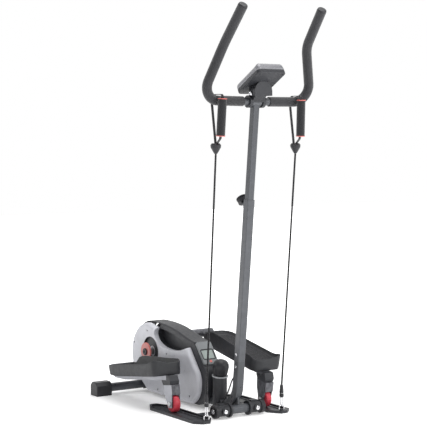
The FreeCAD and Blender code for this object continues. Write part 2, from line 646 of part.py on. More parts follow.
def extrude_yz(wire, x0, x1):
    face = Part.Face(wire)
    face.translate(V(x0, 0, 0))
    return face.extrude(V(x1 - x0, 0, 0))


def grip_ellipse(grow, x0, x1):
    """The hand recess: a long ellipse that leans with the carry handle."""
    y, z, half_y, half_z, tilt = GRIP_ELLIPSE
    curve = Part.Ellipse(V(0, 0, 0), half_y + grow, half_z + grow)
    face = Part.Face(Part.Wire(curve.toShape()))
    to_yz = FreeCAD.Placement(V(x0, y, z), FreeCAD.Rotation(Y_AXIS, Z_AXIS, X_AXIS, "ZXY"))
    face.rotate(V(0, 0, 0), Z_AXIS, tilt)
    face.transformShape(to_yz.toMatrix())
    return face.extrude(V(x1 - x0, 0, 0))


def build_centre_shell():
    outer = extrude_yz(shell_outline(0), -SHELL_HALF, SHELL_HALF)
    for face in (-SHELL_HALF, SHELL_HALF):
        outer = round_outer_edges(outer, face, BAND_ROUND, SLOPE_LOW[1] + 5)
    inner = extrude_yz(shell_outline(SKIN), -SHELL_HALF - 1, SHELL_HALF + 1)
    band = outer.cut(inner)
    under_band = extrude_yz(shell_outline(GRIP_BAND), -SHELL_HALF - 1, SHELL_HALF + 1)
    grip_block = grip_ellipse(SKIN, -SHELL_HALF, SHELL_HALF).common(outer)
    web_half = 13.0
    pockets = []
    for x0, x1 in ((-SHELL_HALF - 1, -web_half), (web_half, SHELL_HALF + 1)):
        pockets.append(grip_ellipse(0, x0, x1).common(under_band))
    column = rod(V(0, COLUMN_Y, BOTTOM_Z), V(0, COLUMN_Y, COLUMN_TOP), COLUMN_R)
    column_room = rod(V(0, COLUMN_Y, BOTTOM_Z - 1), V(0, COLUMN_Y, COLUMN_TOP - SKIN), COLUMN_R - SKIN)
    frame_room = block(-POST_SQ / 2 - 1, POST_SQ / 2 + 1, -150, 520, BASE_Z - POST_SQ / 2 - 1,
                       BASE_Z + POST_SQ / 2 + 1)
    dial_room = dial_place(rod(V(0, 0, -20), V(0, 0, 12), 6.0))
    shell = fuse(band, grip_block).cut(pockets)
    column = column.cut(extrude_yz(shell_outline(SKIN), -SHELL_HALF, SHELL_HALF))
    shell = shell.cut(column_room.common(rod(V(0, COLUMN_Y, 0), V(0, COLUMN_Y, COLUMN_TOP - SKIN),
                                             COLUMN_R - SKIN)))
    shell = shell.fuse(column.cut(column_room)).removeSplitter()
    shell = shell.cut([frame_room, dial_room, console_seat(0.0)])
    add("centre_shell", shell)


def dial_place(shape):
    """Dial frame: Z along the dial's axis, origin on top of the column."""
    shape = shape.copy()
    shape.rotate(V(0, 0, 0), X_AXIS, DIAL_TILT)
    shape.translate(V(0, COLUMN_Y - 1, COLUMN_TOP + 3))
    return shape


def slope_place(shape):
    """Base console frame: X across, Y up the slope, Z out of it; origin at the slope's middle."""
    angle = math.degrees(math.atan2(SLOPE_TOP[1] - SLOPE_LOW[1], SLOPE_TOP[0] - SLOPE_LOW[0]))
    shape = shape.copy()
    shape.rotate(V(0, 0, 0), X_AXIS, angle)
    shape.translate(V(0, (SLOPE_TOP[0] + SLOPE_LOW[0]) / 2, (SLOPE_TOP[1] + SLOPE_LOW[1]) / 2))
    return shape


BASE_PANEL_HALF = (34.0, 50.0)


def console_seat(grow):
    half_x, half_y = BASE_PANEL_HALF
    return slope_place(block(-half_x - grow, half_x + grow, -half_y - grow, half_y + grow, -1.5, 12))


def build_base_console():
    half_x, half_y = BASE_PANEL_HALF
    panel = rounded_slab(-half_x + 0.3, half_x - 0.3, -half_y + 0.3, half_y - 0.3, -1.4, 6, 10)
    panel = panel.makeFillet(2.0, [e for e in panel.Edges if e.BoundBox.ZMin > 5.9])
    window = block(-25, 25, -26, 12, 3, 8)
    well = rod(V(0, -38, 1), V(0, -38, 8), 6.0)
    add("base_console", slope_place(panel.cut([window, well])))
    add("base_display", slope_place(block(-24.7, 24.7, -25.7, 11.7, 3, 5)))
    button = rod(V(0, -38, 3.2), V(0, -38, 7.8), 5.5)
    button = button.makeFillet(1.2, [e for e in button.Edges if e.BoundBox.ZMin > 7])
    add("base_button", slope_place(button))
    rim = pipe_ring(V(0, 0, 0), V(0, 0, 5), KNOB_R + 0.5, 8.0)
    rim = rim.makeFillet(1.5, [e for e in rim.Edges if e.Length > 150 and e.BoundBox.ZMin > 4])
    outside = extrude_yz(shell_outline(-0.3), -SHELL_HALF, SHELL_HALF)
    column = rod(V(0, COLUMN_Y, BOTTOM_Z), V(0, COLUMN_Y, COLUMN_TOP + 0.1), COLUMN_R + 5)
    add("dial_rim", dial_place(rim).cut([outside, column]))
    knob = rod(V(0, 0, 5.4), V(0, 0, DIAL_HEIGHT), KNOB_R)
    knob = knob.makeFillet(20.0, [e for e in knob.Edges if e.BoundBox.ZMin > DIAL_HEIGHT - 1])
    flutes = []
    for index in range(16):
        angle = math.radians(22.5 * index)
        at = V((KNOB_R + 2.1) * math.cos(angle), (KNOB_R + 2.1) * math.sin(angle), 0)
        flutes.append(rod(at + V(0, 0, 5), at + V(0, 0, 34), 3.2))
    stem = rod(V(0, 0, -12), V(0, 0, 6), 5.0)
    add("tension_knob", dial_place(knob.cut(flutes).fuse(stem).removeSplitter()))


def build_covers():
    solid = extrude_yz(cover_outline(0), -COVER_FACE, -SHELL_HALF - CLEAR)
    bite = grip_ellipse(CLEAR, -COVER_FACE - 1, -SHELL_HALF + 1)
    solid = round_outer_edges(solid, -COVER_FACE, COVER_ROUND).cut(bite)
    hollow = extrude_yz(cover_outline(COVER_SKIN), -COVER_FACE + SKIN + 1, -SHELL_HALF + 1)
    hollow = hollow.cut(grip_ellipse(COVER_SKIN, -COVER_FACE, -SHELL_HALF + 2))
    cup = rod(V(-COVER_FACE + 0.5, CRANK_Y, CRANK_Z), V(-CRANK_WELL_X + SKIN, CRANK_Y, CRANK_Z),
              CRANK_WELL_R + SKIN)
    well = rod(V(-COVER_FACE - 1, CRANK_Y, CRANK_Z), V(-CRANK_WELL_X, CRANK_Y, CRANK_Z), CRANK_WELL_R)
    shaft_hole = rod(V(-COVER_FACE - 1, CRANK_Y, CRANK_Z), V(-20, CRANK_Y, CRANK_Z), 15.0)
    cover = solid.cut(hollow)
    cover = cover.fuse(cup.common(solid)).removeSplitter().cut([well, shaft_hole])
    screws_at = cover_screw_points()
    for y, z in screws_at:
        post = rod(V(-COVER_FACE + 1, y, z), V(-SHELL_HALF - CLEAR - 1, y, z), 6.0).common(solid)
        cover = cover.fuse(post)
        cover = cover.cut(rod(V(-COVER_FACE - 1, y, z), V(-COVER_FACE + 4, y, z), 4.2))
        cover = cover.cut(rod(V(-COVER_FACE, y, z), V(-SHELL_HALF + 1, y, z), 1.8))
    both("cover", cover.removeSplitter().cut(PARTS["main_frame"]))
    screws = []
    for side in (-1, 1):
        for y, z in screws_at:
            seat = V(side * (COVER_FACE - 4), y, z)
            screws.append(hex_bolt(seat, X_AXIS * side, 3.9, 2.4, 1.7, 12.0))
    add("cover_screws", *screws)


def cover_screw_points():
    return [(474.0, 196.0), (372.0, 254.0), (225.0, 180.0), (291.0, 30.0), (58.0, 40.0)]


# ---- drive ------------------------------------------------------------------------------------
def crank_pin(side):
    """Centre of the crank pin as (Y, Z); the right one points down and back."""
    drop = math.radians(CRANK_DROP)
    turn = 1 if side < 0 else -1
    return (CRANK_Y + turn * CRANK_R * math.cos(drop), CRANK_Z - turn * CRANK_R * math.sin(drop))


def crank_arm(side):
    pin_y, pin_z = crank_pin(side)
    x_in = side * CRANK_X[0]
    x_out = side * CRANK_X[1]
    hub = rod(V(x_in, CRANK_Y, CRANK_Z), V(x_out, CRANK_Y, CRANK_Z), 19.0)
    end = rod(V(x_in, pin_y, pin_z), V(x_out, pin_y, pin_z), 16.0)
    along = V(0, pin_y - CRANK_Y, pin_z - CRANK_Z).normalize()
    across = V(0, -along.z, along.y)
    corners = [V(0, CRANK_Y, CRANK_Z) + across * 17, V(0, pin_y, pin_z) + across * 14,
               V(0, pin_y, pin_z) - across * 14, V(0, CRANK_Y, CRANK_Z) - across * 17]
    bar = polygon_yz([(c.y, c.z) for c in corners], min(x_in, x_out), max(x_in, x_out))
    bore = rod(V(x_in - side * 5, CRANK_Y, CRANK_Z), V(x_out + side * 5, CRANK_Y, CRANK_Z), 10.0)
    pin = rod(V(side * (CRANK_X[0] + 5), pin_y, pin_z), V(side * (SLEEVE_X - 3), pin_y, pin_z), 9.0)
    return fuse(hub, end, bar, pin).cut(bore)


def build_drive():
    axis_at = V(0, CRANK_Y, CRANK_Z)
    shaft = rod(axis_at - V(CRANK_X[1], 0, 0), axis_at + V(CRANK_X[1], 0, 0), 10.0)
    add("crank_shaft", shaft)
    bearings = []
    for side in (-1, 1):
        bearings.append(pipe_ring(axis_at + V(side * (PLATE_X - 2), 0, 0),
                                  axis_at + V(side * (PLATE_X + 8), 0, 0), 16.0, 10.0 + FIT))
    add("crank_bearings", *bearings)
    add("crank_arms", crank_arm(-1), crank_arm(1))
    discs = []
    for side in (-1, 1):
        near = CRANK_X[1] + 0.2
        far = CRANK_X[1] + 6.0
        disc = rod(axis_at + V(side * near, 0, 0), axis_at + V(side * far, 0, 0), 36.0)
        face = [e for e in disc.Edges if abs(abs(e.BoundBox.Center.x) - far) < 0.1]
        disc = disc.makeFillet(2.5, face)
        discs.append(disc.cut(rod(axis_at, axis_at + V(side * 100, 0, 0), 9.0)))
    add("crank_discs", *discs)
    caps = [hex_bolt(axis_at + V(side * (CRANK_X[1] + 6.2), 0, 0), X_AXIS * side, 14.0, 4.5, 8.8, 6.0)
            for side in (-1, 1)]
    add("crank_bolts", *caps)

    centre = V(BELT_X, CRANK_Y, CRANK_Z)
    rim = rod(centre - V(7, 0, 0), centre + V(7, 0, 0), PULLEY_R)
    pockets = []
    for index in range(6):
        angle = math.radians(60 * index)
        at = centre + V(0, PULLEY_HOLES[0] * math.cos(angle), PULLEY_HOLES[0] * math.sin(angle))
        pockets.append(rod(at - V(9, 0, 0), at + V(9, 0, 0), PULLEY_HOLES[1]))
    add("drive_pulley", rim.cut(pockets + [rod(centre - V(9, 0, 0), centre + V(9, 0, 0), 10.0)]))

    wheel_at = V(0, FLYWHEEL_Y, FLYWHEEL_Z)
    disc = rod(wheel_at - V(22, 0, 0), wheel_at + V(4, 0, 0), FLYWHEEL_R)
    for x0, x1 in ((-23, -14), (-4, 5)):
        disc = disc.cut(pipe_ring(wheel_at + V(x0, 0, 0), wheel_at + V(x1, 0, 0), FLYWHEEL_R - 16, 20.0))
    hub = rod(wheel_at - V(28, 0, 0), wheel_at + V(BELT_X + 9, 0, 0), SMALL_PULLEY_R - 2)
    small = rod(wheel_at + V(BELT_X - 7, 0, 0), wheel_at + V(BELT_X + 7, 0, 0), SMALL_PULLEY_R)
    bore = rod(wheel_at - V(40, 0, 0), wheel_at + V(60, 0, 0), 5.0 + FIT)
    add("flywheel", fuse(disc, hub, small).cut(bore))
    axle = rod(wheel_at - V(PLATE_X + 6, 0, 0), wheel_at + V(PLATE_X + 6, 0, 0), 5.0)
    for side in (-1, 1):
        nut = rod(wheel_at + V(side * (PLATE_X + 3), 0, 0), wheel_at + V(side * (PLATE_X + 6), 0, 0), 9.0)
        axle = axle.fuse(nut)
    add("drive_belt", belt())
    pivot = V(0, MAGNET_PIVOT[0], MAGNET_PIVOT[1])
    add("magnet_bracket", magnet_bracket(pivot))
    pin = rod(pivot - V(PLATE_X + 3, 0, 0), pivot + V(PLATE_X + 3, 0, 0), 3.0)
    add("drive_axles", axle.removeSplitter(), pin)


def belt_loop(grow):
    """Wire round both pulleys, offset outwards by grow."""
    big = V(0, CRANK_Y, CRANK_Z)
    small = V(0, FLYWHEEL_Y, FLYWHEEL_Z)
    big_r = PULLEY_R + grow
    small_r = SMALL_PULLEY_R + grow
    span = small - big
    base = math.atan2(span.z, span.y)
    spread = math.acos((big_r - small_r) / span.Length)

    def at(centre, radius, angle):
        return centre + V(0, radius * math.cos(angle), radius * math.sin(angle))

    upper = base - spread
    lower = base + spread
    big_top = at(big, big_r, upper)
    big_low = at(big, big_r, lower)
    small_top = at(small, small_r, upper)
    small_low = at(small, small_r, lower)
    edges = [Part.Arc(big_low, at(big, big_r, base + math.pi), big_top).toShape(),
             Part.LineSegment(big_top, small_top).toShape(),
             Part.Arc(small_top, at(small, small_r, base), small_low).toShape(),
             Part.LineSegment(small_low, big_low).toShape()]
    return Part.Wire(edges)


def belt():
    x0 = BELT_X - BELT_W / 2
    outer = extrude_yz(belt_loop(0.3 + BELT_T), x0, x0 + BELT_W)
    return outer.cut(extrude_yz(belt_loop(0.3), x0 - 1, x0 + BELT_W + 1))


def magnet_bracket(pivot):
    """Curved carrier with magnets close to the flywheel's rim, hung from a pin above it."""
    centre = V(0, FLYWHEEL_Y, FLYWHEEL_Z)
    inner = FLYWHEEL_R + 3
    ring = pipe_ring(centre - V(22, 0, 0), centre + V(4, 0, 0), inner + 7, inner)
    wedge = polygon_yz([(centre.y, centre.z), (centre.y + 120, centre.z - 20),
                        (centre.y + 120, centre.z + 120), (centre.y + 56, centre.z + 100)], -30, 30)
    lug = rod(pivot - V(22, 0, 0), pivot + V(4, 0, 0), 8.0)
    lug = lug.cut(rod(centre - V(30, 0, 0), centre + V(30, 0, 0), inner))
    hole = rod(pivot - V(40, 0, 0), pivot + V(40, 0, 0), 3.0 + FIT)
    return fuse(ring.common(wedge), lug).cut(hole)


# ---- pedals -----------------------------------------------------------------------------------
def wheel_centre(side):
    """Where the pedal wheel's axle rests on the track, found from the crank pin and the link."""
    pin_y, pin_z = crank_pin(side)
    return pin_y - math.sqrt(LINK ** 2 - (pin_z - AXLE_Z) ** 2), AXLE_Z


def tray_tilt(side):
    pin_y, pin_z = crank_pin(side)
    wheel_y, wheel_z = wheel_centre(side)
    return math.degrees(math.atan2(pin_z - wheel_z, pin_y - wheel_y)) - TRAY_SET


def pedal_place(shape, side):
    """From the pedal's level frame (wheel axle at the origin, +Y to the rear, right side -X)."""
    shape = shape.copy() if side < 0 else mirrored(shape)
    wheel_y, wheel_z = wheel_centre(side)
    shape.rotate(V(0, 0, 0), X_AXIS, tray_tilt(side))
    shape.translate(V(0, wheel_y, wheel_z))
    return shape


def tray_plan(inset, z0, z1):
    """Foot plate seen from above: round at the heel, nearly square at the toe."""
    x0 = -TRAY_X1 + inset
    x1 = -TRAY_X0 - inset
    y0 = TRAY_U0 + inset
    y1 = TRAY_U1 - inset
    slab = block(x0, x1, y0, y1, z0, z1)
    for y, radius in ((y0, 16.0 - inset), (y1, 38.0 - inset)):
        edges = [e for e in slab.Edges
                 if abs(e.Vertexes[0].Z - e.Vertexes[1].Z) > 0.9 * (z1 - z0)
                 and abs(e.Vertexes[0].Y - y) < 0.1]
        slab = slab.makeFillet(radius, edges)
    return slab


def pedal_tray():
    wall = TRAY_WALL
    floor = TRAY_FLOOR
    body = tray_plan(0, TRAY_W0, TRAY_W1 + 20)
    cut_plane = polygon_yz([(-20, TRAY_W1 - 1), (TRAY_U0 + 60, TRAY_W1), (TRAY_U1 - 40, TRAY_W1 - 3),
                            (TRAY_U1 + 20, TRAY_W1 - 9), (TRAY_U1 + 20, TRAY_W1 + 60), (-20, TRAY_W1 + 60)],
                           -TRAY_X1 - 10, -TRAY_X0 + 10)
    guard = polygon_yz([(TRAY_U0 + 14, TRAY_W1 - 6), (TRAY_U0 + 30, TRAY_W1 + 5),
                        (TRAY_U1 - 62, TRAY_W1 + 17), (TRAY_U1 - 48, TRAY_W1 + 14),
                        (TRAY_U1 - 42, TRAY_W1 - 8)],
                       -TRAY_X0 - wall, -TRAY_X0)
    recess = tray_plan(wall, floor, TRAY_W1 + 40)
    belly = polygon_yz([(-20, TRAY_W0 - 10), (TRAY_U1 - 120, TRAY_W0 - 10), (TRAY_U1 - 60, TRAY_W0),
                        (TRAY_U1 + 30, TRAY_W0 + 8), (TRAY_U1 + 30, TRAY_W0 - 30), (-20, TRAY_W0 - 30)],
                       -TRAY_X1 - 10, -TRAY_X0 + 10)
    under = tray_plan(wall, TRAY_W0 - 1, floor - wall)
    channel = block(-WHEEL_X - 19, -WHEEL_X + 19, TRAY_U0 - 5, TRAY_U1 + 5, TRAY_W0 - 5, TRAY_W0 + 0.1)
    tray = body.cut([cut_plane, recess]).fuse(guard).removeSplitter()
    tray = tray.cut(belly)
    ribs = [block(-TRAY_X1 + 2, -TRAY_X0 - 2, y, y + 3, TRAY_W0 + 0.1, floor - 1)
            for y in (TRAY_U0 + 50, TRAY_U0 + 140, TRAY_U0 + 230)]
    seat = block(-WHEEL_X - 20, -WHEEL_X + 20, TRAY_U0 + 2, TRAY_U1 - 30, TRAY_W0 + 0.1, floor - 1)
    keep = fuse(*ribs, seat).cut(belly)
    tray = tray.cut(under.cut(keep)).cut(channel)
    return tray


def link_pin():
    """Crank pin in the pedal's level frame, as (Y, Z)."""
    angle = math.radians(TRAY_SET)
    return LINK * math.cos(angle), LINK * math.sin(angle)


def pedal_arm():
    """Painted steel arm: wheel fork, beam under the tray, rear end turned up to the pin sleeve."""
    pin_y, pin_z = link_pin()
    x0 = -WHEEL_X - 17
    x1 = -WHEEL_X + 17
    beam = polygon_yz([(TRAY_U0 - 2, 88), (TRAY_U0 - 2, TRAY_W0), (TRAY_U1 - 62, TRAY_W0),
                       (TRAY_U1 + 3, TRAY_W0 + 8), (pin_y - 12, pin_z), (pin_y + 10, pin_z - 10),
                       (TRAY_U1 + 20, 96), (TRAY_U1 - 60, 88)], x0, x1)
    hollow = polygon_yz([(TRAY_U0 - 5, 91), (TRAY_U0 - 5, TRAY_W0 - 3), (TRAY_U1 - 62, TRAY_W0 - 3),
                         (TRAY_U1 - 62, 91)], x0 + 3, x1 - 3)
    sleeve = rod(V(x0, pin_y, pin_z), V(-SLEEVE_X, pin_y, pin_z), 17.0)
    bore = rod(V(x0 + 6, pin_y, pin_z), V(-SLEEVE_X + 2, pin_y, pin_z), 11.5)
    return fuse(beam.cut(hollow), sleeve, pedal_fork()).cut(bore)


def pedal_neck():
    """Dark moulded cover round the post between the fork and the beam."""
    outline = [(-14, 70), (34, 70), (44, 87.6), (9.6, 87.6), (9.6, TRAY_W0 - 0.4),
               (-8, TRAY_W0 - 0.4), (-17, 84)]
    cover = polygon_yz(outline, -WHEEL_X - 20, -WHEEL_X + 20)
    return cover.cut(pedal_post(CLEAR))


def pedal_post(grow):
    """Square steel post that carries the beam on the fork."""
    return block(-WHEEL_X - 12 - grow, -WHEEL_X + 12 + grow, -2 - grow, 26 + grow, 68, 92)


def pedal_fork():
    """Steel fork: two tapered cheeks, a bridge on top and a short front plate."""
    cheeks = []
    for x in (-WHEEL_X - 18, -WHEEL_X + 14):
        outline = [(-12, -15), (12, -15), (34, 40), (38, 69.6), (-18, 69.6), (-18, 26)]
        cheeks.append(polygon_yz(outline, x, x + 4))
    top = block(-WHEEL_X - 18, -WHEEL_X + 18, -18, 38, 66, 69.6)
    front = block(-WHEEL_X - 18, -WHEEL_X + 18, -21.4, -18, 33, 69.6)
    holes = rod(V(-WHEEL_X - 30, 0, 0), V(-WHEEL_X + 30, 0, 0), 6.0)
    fork = fuse(*cheeks, top, front, pedal_post(0))
    clear_wheel = rod(V(-WHEEL_X - 13.5, 0, 0), V(-WHEEL_X + 13.5, 0, 0), WHEEL_R + 1.2)
    return fork.cut([holes, clear_wheel])


def pedal_wheel():
    half = WHEEL_W / 2
    wheel = rod(V(-WHEEL_X - half, 0, 0), V(-WHEEL_X + half, 0, 0), WHEEL_R)
    wheel = wheel.makeFillet(6.0, wheel.Edges)
    bore = rod(V(-WHEEL_X - 20, 0, 0), V(-WHEEL_X + 20, 0, 0), 6.0 + FIT)
    return wheel.cut(bore)


def build_pedals():
    for side, name in ((-1, "right"), (1, "left")):
        arm = pedal_arm()
        add(name + "_pedal_tray", pedal_place(pedal_tray().cut(arm), side))
        add(name + "_pedal_arm", pedal_place(arm, side))
        add(name + "_pedal_neck", pedal_place(pedal_neck().cut(arm), side))
        add(name + "_pedal_wheel", pedal_place(pedal_wheel(), side))
        axle = rod(V(-WHEEL_X - 18.4, 0, 0), V(-WHEEL_X + 18.4, 0, 0), 6.0 - FIT)
        for sign in (-1, 1):
            head = rod(V(-WHEEL_X + sign * 18.4, 0, 0), V(-WHEEL_X + sign * 22.4, 0, 0), 8.5)
            far_edge = [e for e in head.Edges if abs(e.BoundBox.Center.x + WHEEL_X - sign * 22.4) < 0.1]
            axle = axle.fuse(head.makeFillet(1.5, far_edge))
        add(name + "_wheel_bolt", pedal_place(axle.removeSplitter(), side))


# ---- elastic cords ----------------------------------------------------------------------------
def stirrup_points():
    middle = bar_middle()
    top = V(-STIRRUP_X + 1, middle.y - FOAM_R - GRIP_R - 13, BAR_Z + 8)
    low = V(-STIRRUP_X - 2, middle.y - FOAM_R - GRIP_R - 5, BAR_Z - 124)
    bead = V(-STIRRUP_X - 2, middle.y - 8, BEAD_Z)
    return middle, top, low, bead


def strap_run(points, width, thick):
    """Flat webbing of the given width (along X) that follows points in a YZ plane."""
    x = points[0].x
    path = fillet_path(points, [9.0] * (len(points) - 2))
    start = points[0]
    tangent = (points[1] - points[0]).normalize()
    normal = tangent.cross(X_AXIS).normalize()
    corners = [start + X_AXIS * (sx * width / 2) + normal * (sn * thick / 2)
               for sx, sn in ((-1, -1), (1, -1), (1, 1), (-1, 1))]
    profile = Part.makePolygon([V(c.x, c.y, c.z) for c in corners + corners[:1]])
    solid = path.makePipeShell([profile], True, False)
    solid.translate(V(x - start.x, 0, 0))
    return solid


def build_stirrups():
    middle, top, low, bead = stirrup_points()
    axis = (low - top).normalize()
    grip = pipe_ring(top + axis * 3, low - axis * 3, GRIP_R, 7.0)
    caps = []
    for point, sign in ((top, 1), (low, -1)):
        cap = pipe_ring(point, point + axis * (sign * 2.8), GRIP_R + 0.8, 7.0)
        caps.append(cap)
    strap_x = top.x
    over = FOAM_R + 2.0
    loop = [V(strap_x, top.y, top.z - 6), V(strap_x, top.y, top.z + 14),
            V(strap_x, middle.y - 12, BAR_Z + over + 3), V(strap_x, middle.y + 12, BAR_Z + over + 3),
            V(strap_x, middle.y + over + 2, BAR_Z - 6), V(strap_x, bead.y + 6, bead.z + 16)]
    back_strand = strap_run(loop, 9.0, 2.4)
    front_strand = strap_run([V(strap_x - 2, low.y, low.z + 10), V(strap_x - 2, low.y + 3, low.z - 8),
                              V(strap_x - 2, bead.y - 6, bead.z + 16)], 9.0, 2.4)
    pair("stirrup_grips", grip)
    add("stirrup_caps", *caps, *[mirrored(c) for c in caps])
    strands = [back_strand, front_strand]
    add("stirrup_straps", *strands, *[mirrored(s) for s in strands])
    pair("cord_beads", cord_bead(bead).cut(strands))

    cord_top = bead - V(0, 0, 20)
    hook_top = V(-RING_X, RING_Y, SLEEVE_TOP)
    run = (cord_top - hook_top).normalize()
    both("elastic_cord", rod(hook_top + run * 0.5, cord_top - run * 0.5, CORD_R))
    pair("cord_hooks", cord_hook())


def cord_bead(centre):
    """Acorn-shaped stop: flat shoulders that taper down to the cord."""
    profile = [(0, 17), (14, 17), (19, 11), (18, 2), (9, -14), (5, -20), (0, -20)]
    wire = Part.makePolygon([centre + V(r, 0, z) for r, z in profile + profile[:1]])
    bead = Part.Face(wire).revolve(centre, Z_AXIS, 360)
    return Part.Solid(bead) if bead.ShapeType == "Shell" else bead


def cord_hook():
    """Snap hook on the floor ring, with the crimped sleeve that holds the cord's end."""
    wire_r = 2.0
    low_z = 19.0 + RING_R - RING_WIRE - wire_r - 0.3
    high_z = 60.0
    half = 6.0
    y = RING_Y
    points = [V(-RING_X, y, low_z), V(-RING_X, y + half, low_z), V(-RING_X, y + half, high_z),
              V(-RING_X, y - half, high_z), V(-RING_X, y - half, low_z), V(-RING_X, y, low_z)]
    hook = round_sweep(fillet_path(points, [5.2] * 4), wire_r)
    sleeve = rod(V(-RING_X, y, high_z + 1), V(-RING_X, y, SLEEVE_TOP), 6.0)
    neck = rod(V(-RING_X, y, high_z - 3), V(-RING_X, y, high_z + 3), 4.2)
    collar = rod(V(-RING_X, y, high_z + 14), V(-RING_X, y, high_z + 18), 7.5)
    return fuse(hook, neck, sleeve, collar)


# ---- sensor cable -----------------------------------------------------------------------------
CABLE_R = 2.5
CABLE_POINTS = [V(-4, -166, 142), V(-5, -153, 128), V(-9, -145, 100), V(-18, -139, 72),
                V(-26, -129, 48), V(-29, -111, 35), V(-25, -94, 34)]


def largest_radii(points):
    """Each corner's arc is as large as its two runs allow."""
    radii = []
    for before, corner, after in zip(points, points[1:], points[2:]):
        run = min((corner - before).Length, (after - corner).Length)
        turn = (corner - before).getAngle(after - corner)
        radii.append(0.45 * run / math.tan(turn / 2))
    return radii


def build_cable():
    radii = largest_radii(CABLE_POINTS)
    print("sensor cable radii", [round(r, 1) for r in radii])
    path = fillet_path(CABLE_POINTS, radii)
    cable = round_sweep(path, CABLE_R)
    print("sensor cable volume / section x length",
          round(cable.Volume / (math.pi * CABLE_R ** 2 * path.Length), 4))
    add("sensor_cable", cable)
    start = CABLE_POINTS[0]
    end = CABLE_POINTS[-1]
    into_mast = (V(start.x, start.y - 10, start.z - 1) - start).normalize()
    into_shell = (end - CABLE_POINTS[-2]).normalize()
    glands = [rod(start, start + into_mast * 8, 4.5), rod(end, end + into_shell * 8, 4.5)]
    add("cable_glands", *[gland.cut(cable) for gland in glands])


def main():
    add("frame_bolts", *build_base(), *build_mast())
    build_handlebar()
    build_console()
    build_centre_shell()
    build_base_console()
    build_covers()
    build_drive()
    build_pedals()
    build_stirrups()
    build_cable()
    os.makedirs("parts", exist_ok=True)
    for name, shape in PARTS.items():
        shape.translate(V(0, -MIDDLE_Y, 0))
        shape.exportStep("parts/%s.step" % name)
    print(len(PARTS), "nodes")


main()
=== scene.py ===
"""Studio scene for the compact stand-up strider: camera, cords, materials and fine detail."""
import json
import math

import bmesh
import bpy
from mathutils import Matrix, Vector


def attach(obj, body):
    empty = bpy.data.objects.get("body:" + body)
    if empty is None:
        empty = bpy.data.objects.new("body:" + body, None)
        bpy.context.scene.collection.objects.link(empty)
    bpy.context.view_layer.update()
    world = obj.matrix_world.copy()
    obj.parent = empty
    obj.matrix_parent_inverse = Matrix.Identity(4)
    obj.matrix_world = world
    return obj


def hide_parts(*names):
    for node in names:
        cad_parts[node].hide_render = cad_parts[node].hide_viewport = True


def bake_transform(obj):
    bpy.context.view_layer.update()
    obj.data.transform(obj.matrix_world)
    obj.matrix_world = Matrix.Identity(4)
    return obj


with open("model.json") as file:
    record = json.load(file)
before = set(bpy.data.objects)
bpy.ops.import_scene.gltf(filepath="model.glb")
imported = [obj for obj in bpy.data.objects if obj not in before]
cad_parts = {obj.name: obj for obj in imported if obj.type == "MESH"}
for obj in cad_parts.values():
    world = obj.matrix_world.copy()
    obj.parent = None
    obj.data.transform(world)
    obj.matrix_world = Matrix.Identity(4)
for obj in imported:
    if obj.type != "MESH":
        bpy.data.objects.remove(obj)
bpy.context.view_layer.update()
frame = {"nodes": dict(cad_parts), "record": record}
NODES = frame["nodes"]
SCENE = bpy.context.scene
MM = 0.001

# ---- camera -----------------------------------------------------------------------------------
CAMERA_AT = (-2.7834, -4.2256, 1.0173)
CAMERA_YAW = 33.607
CAMERA_PITCH = 3.176
FOCAL = 113.28


def make_camera():
    data = bpy.data.cameras.new("studio_camera")
    data.lens = FOCAL
    data.sensor_width = 36.0
    data.clip_end = 50.0
    camera = bpy.data.objects.new("studio_camera", data)
    camera.location = CAMERA_AT
    camera.rotation_euler = (math.radians(90 - CAMERA_PITCH), 0, math.radians(-CAMERA_YAW))
    SCENE.collection.objects.link(camera)
    SCENE.camera = camera


make_camera()


# ---- mesh helpers -----------------------------------------------------------------------------
CURVE_SIDES = 6


def link(name, data):
    piece = bpy.data.objects.new(name, data)
    SCENE.collection.objects.link(piece)
    return piece


def mesh_piece(name, vertices, faces, smooth=True):
    mesh = bpy.data.meshes.new(name)
    mesh.from_pydata([tuple(v) for v in vertices], [], faces)
    bm = bmesh.new()
    bm.from_mesh(mesh)
    bmesh.ops.recalc_face_normals(bm, faces=bm.faces)
    bm.to_mesh(mesh)
    bm.free()
    if smooth:
        mesh.shade_smooth()
    return link(name, mesh)


def quad(i, j, k, n, count):
    """The face between ring i and ring j, from their point k to their point n."""
    return i * count + k, i * count + n, j * count + n, j * count + k


def ring_faces(rings, count):
    """Faces that join each ring of count points to the next one."""
    return [quad(i, i + 1, k, (k + 1) % count, count) for i in range(rings - 1) for k in range(count)]


def end_caps(rings, count):
    """The first and the last ring as faces."""
    last = (rings - 1) * count
    return [tuple(range(count)), tuple(last + k for k in range(count))]


def closed_faces(rings, count):
    """Faces of a closed loop of rings, the last joined to the first."""
    return [quad(i, (i + 1) % rings, k, (k + 1) % count, count)
            for i in range(rings) for k in range(count)]


def spline_curve(name, points, radius, steps=16):
    """A smooth NURBS curve with the points as its control points."""
    data = bpy.data.curves.new(name, "CURVE")
    data.dimensions = "3D"
    data.bevel_depth = radius
    data.bevel_resolution = CURVE_SIDES
    data.resolution_u = steps
    spline = data.splines.new("NURBS")
    spline.points.add(len(points) - 1)
    for point, place in zip(spline.points, points):
        point.co = (*place, 1.0)
    spline.order_u = 3
    spline.use_endpoint_u = True
    data.use_fill_caps = True
    return link(name, data)


def spline_points(points, steps=16):
    """Points along the smooth curve that the given control points make."""
    curve = spline_curve("route", points, 0.0, steps=steps)
    graph = bpy.context.evaluated_depsgraph_get()
    mesh = bpy.data.meshes.new_from_object(curve.evaluated_get(graph))
    places = [v.co.copy() for v in mesh.vertices]
    bpy.data.meshes.remove(mesh)
    bpy.data.curves.remove(curve.data)
    return places


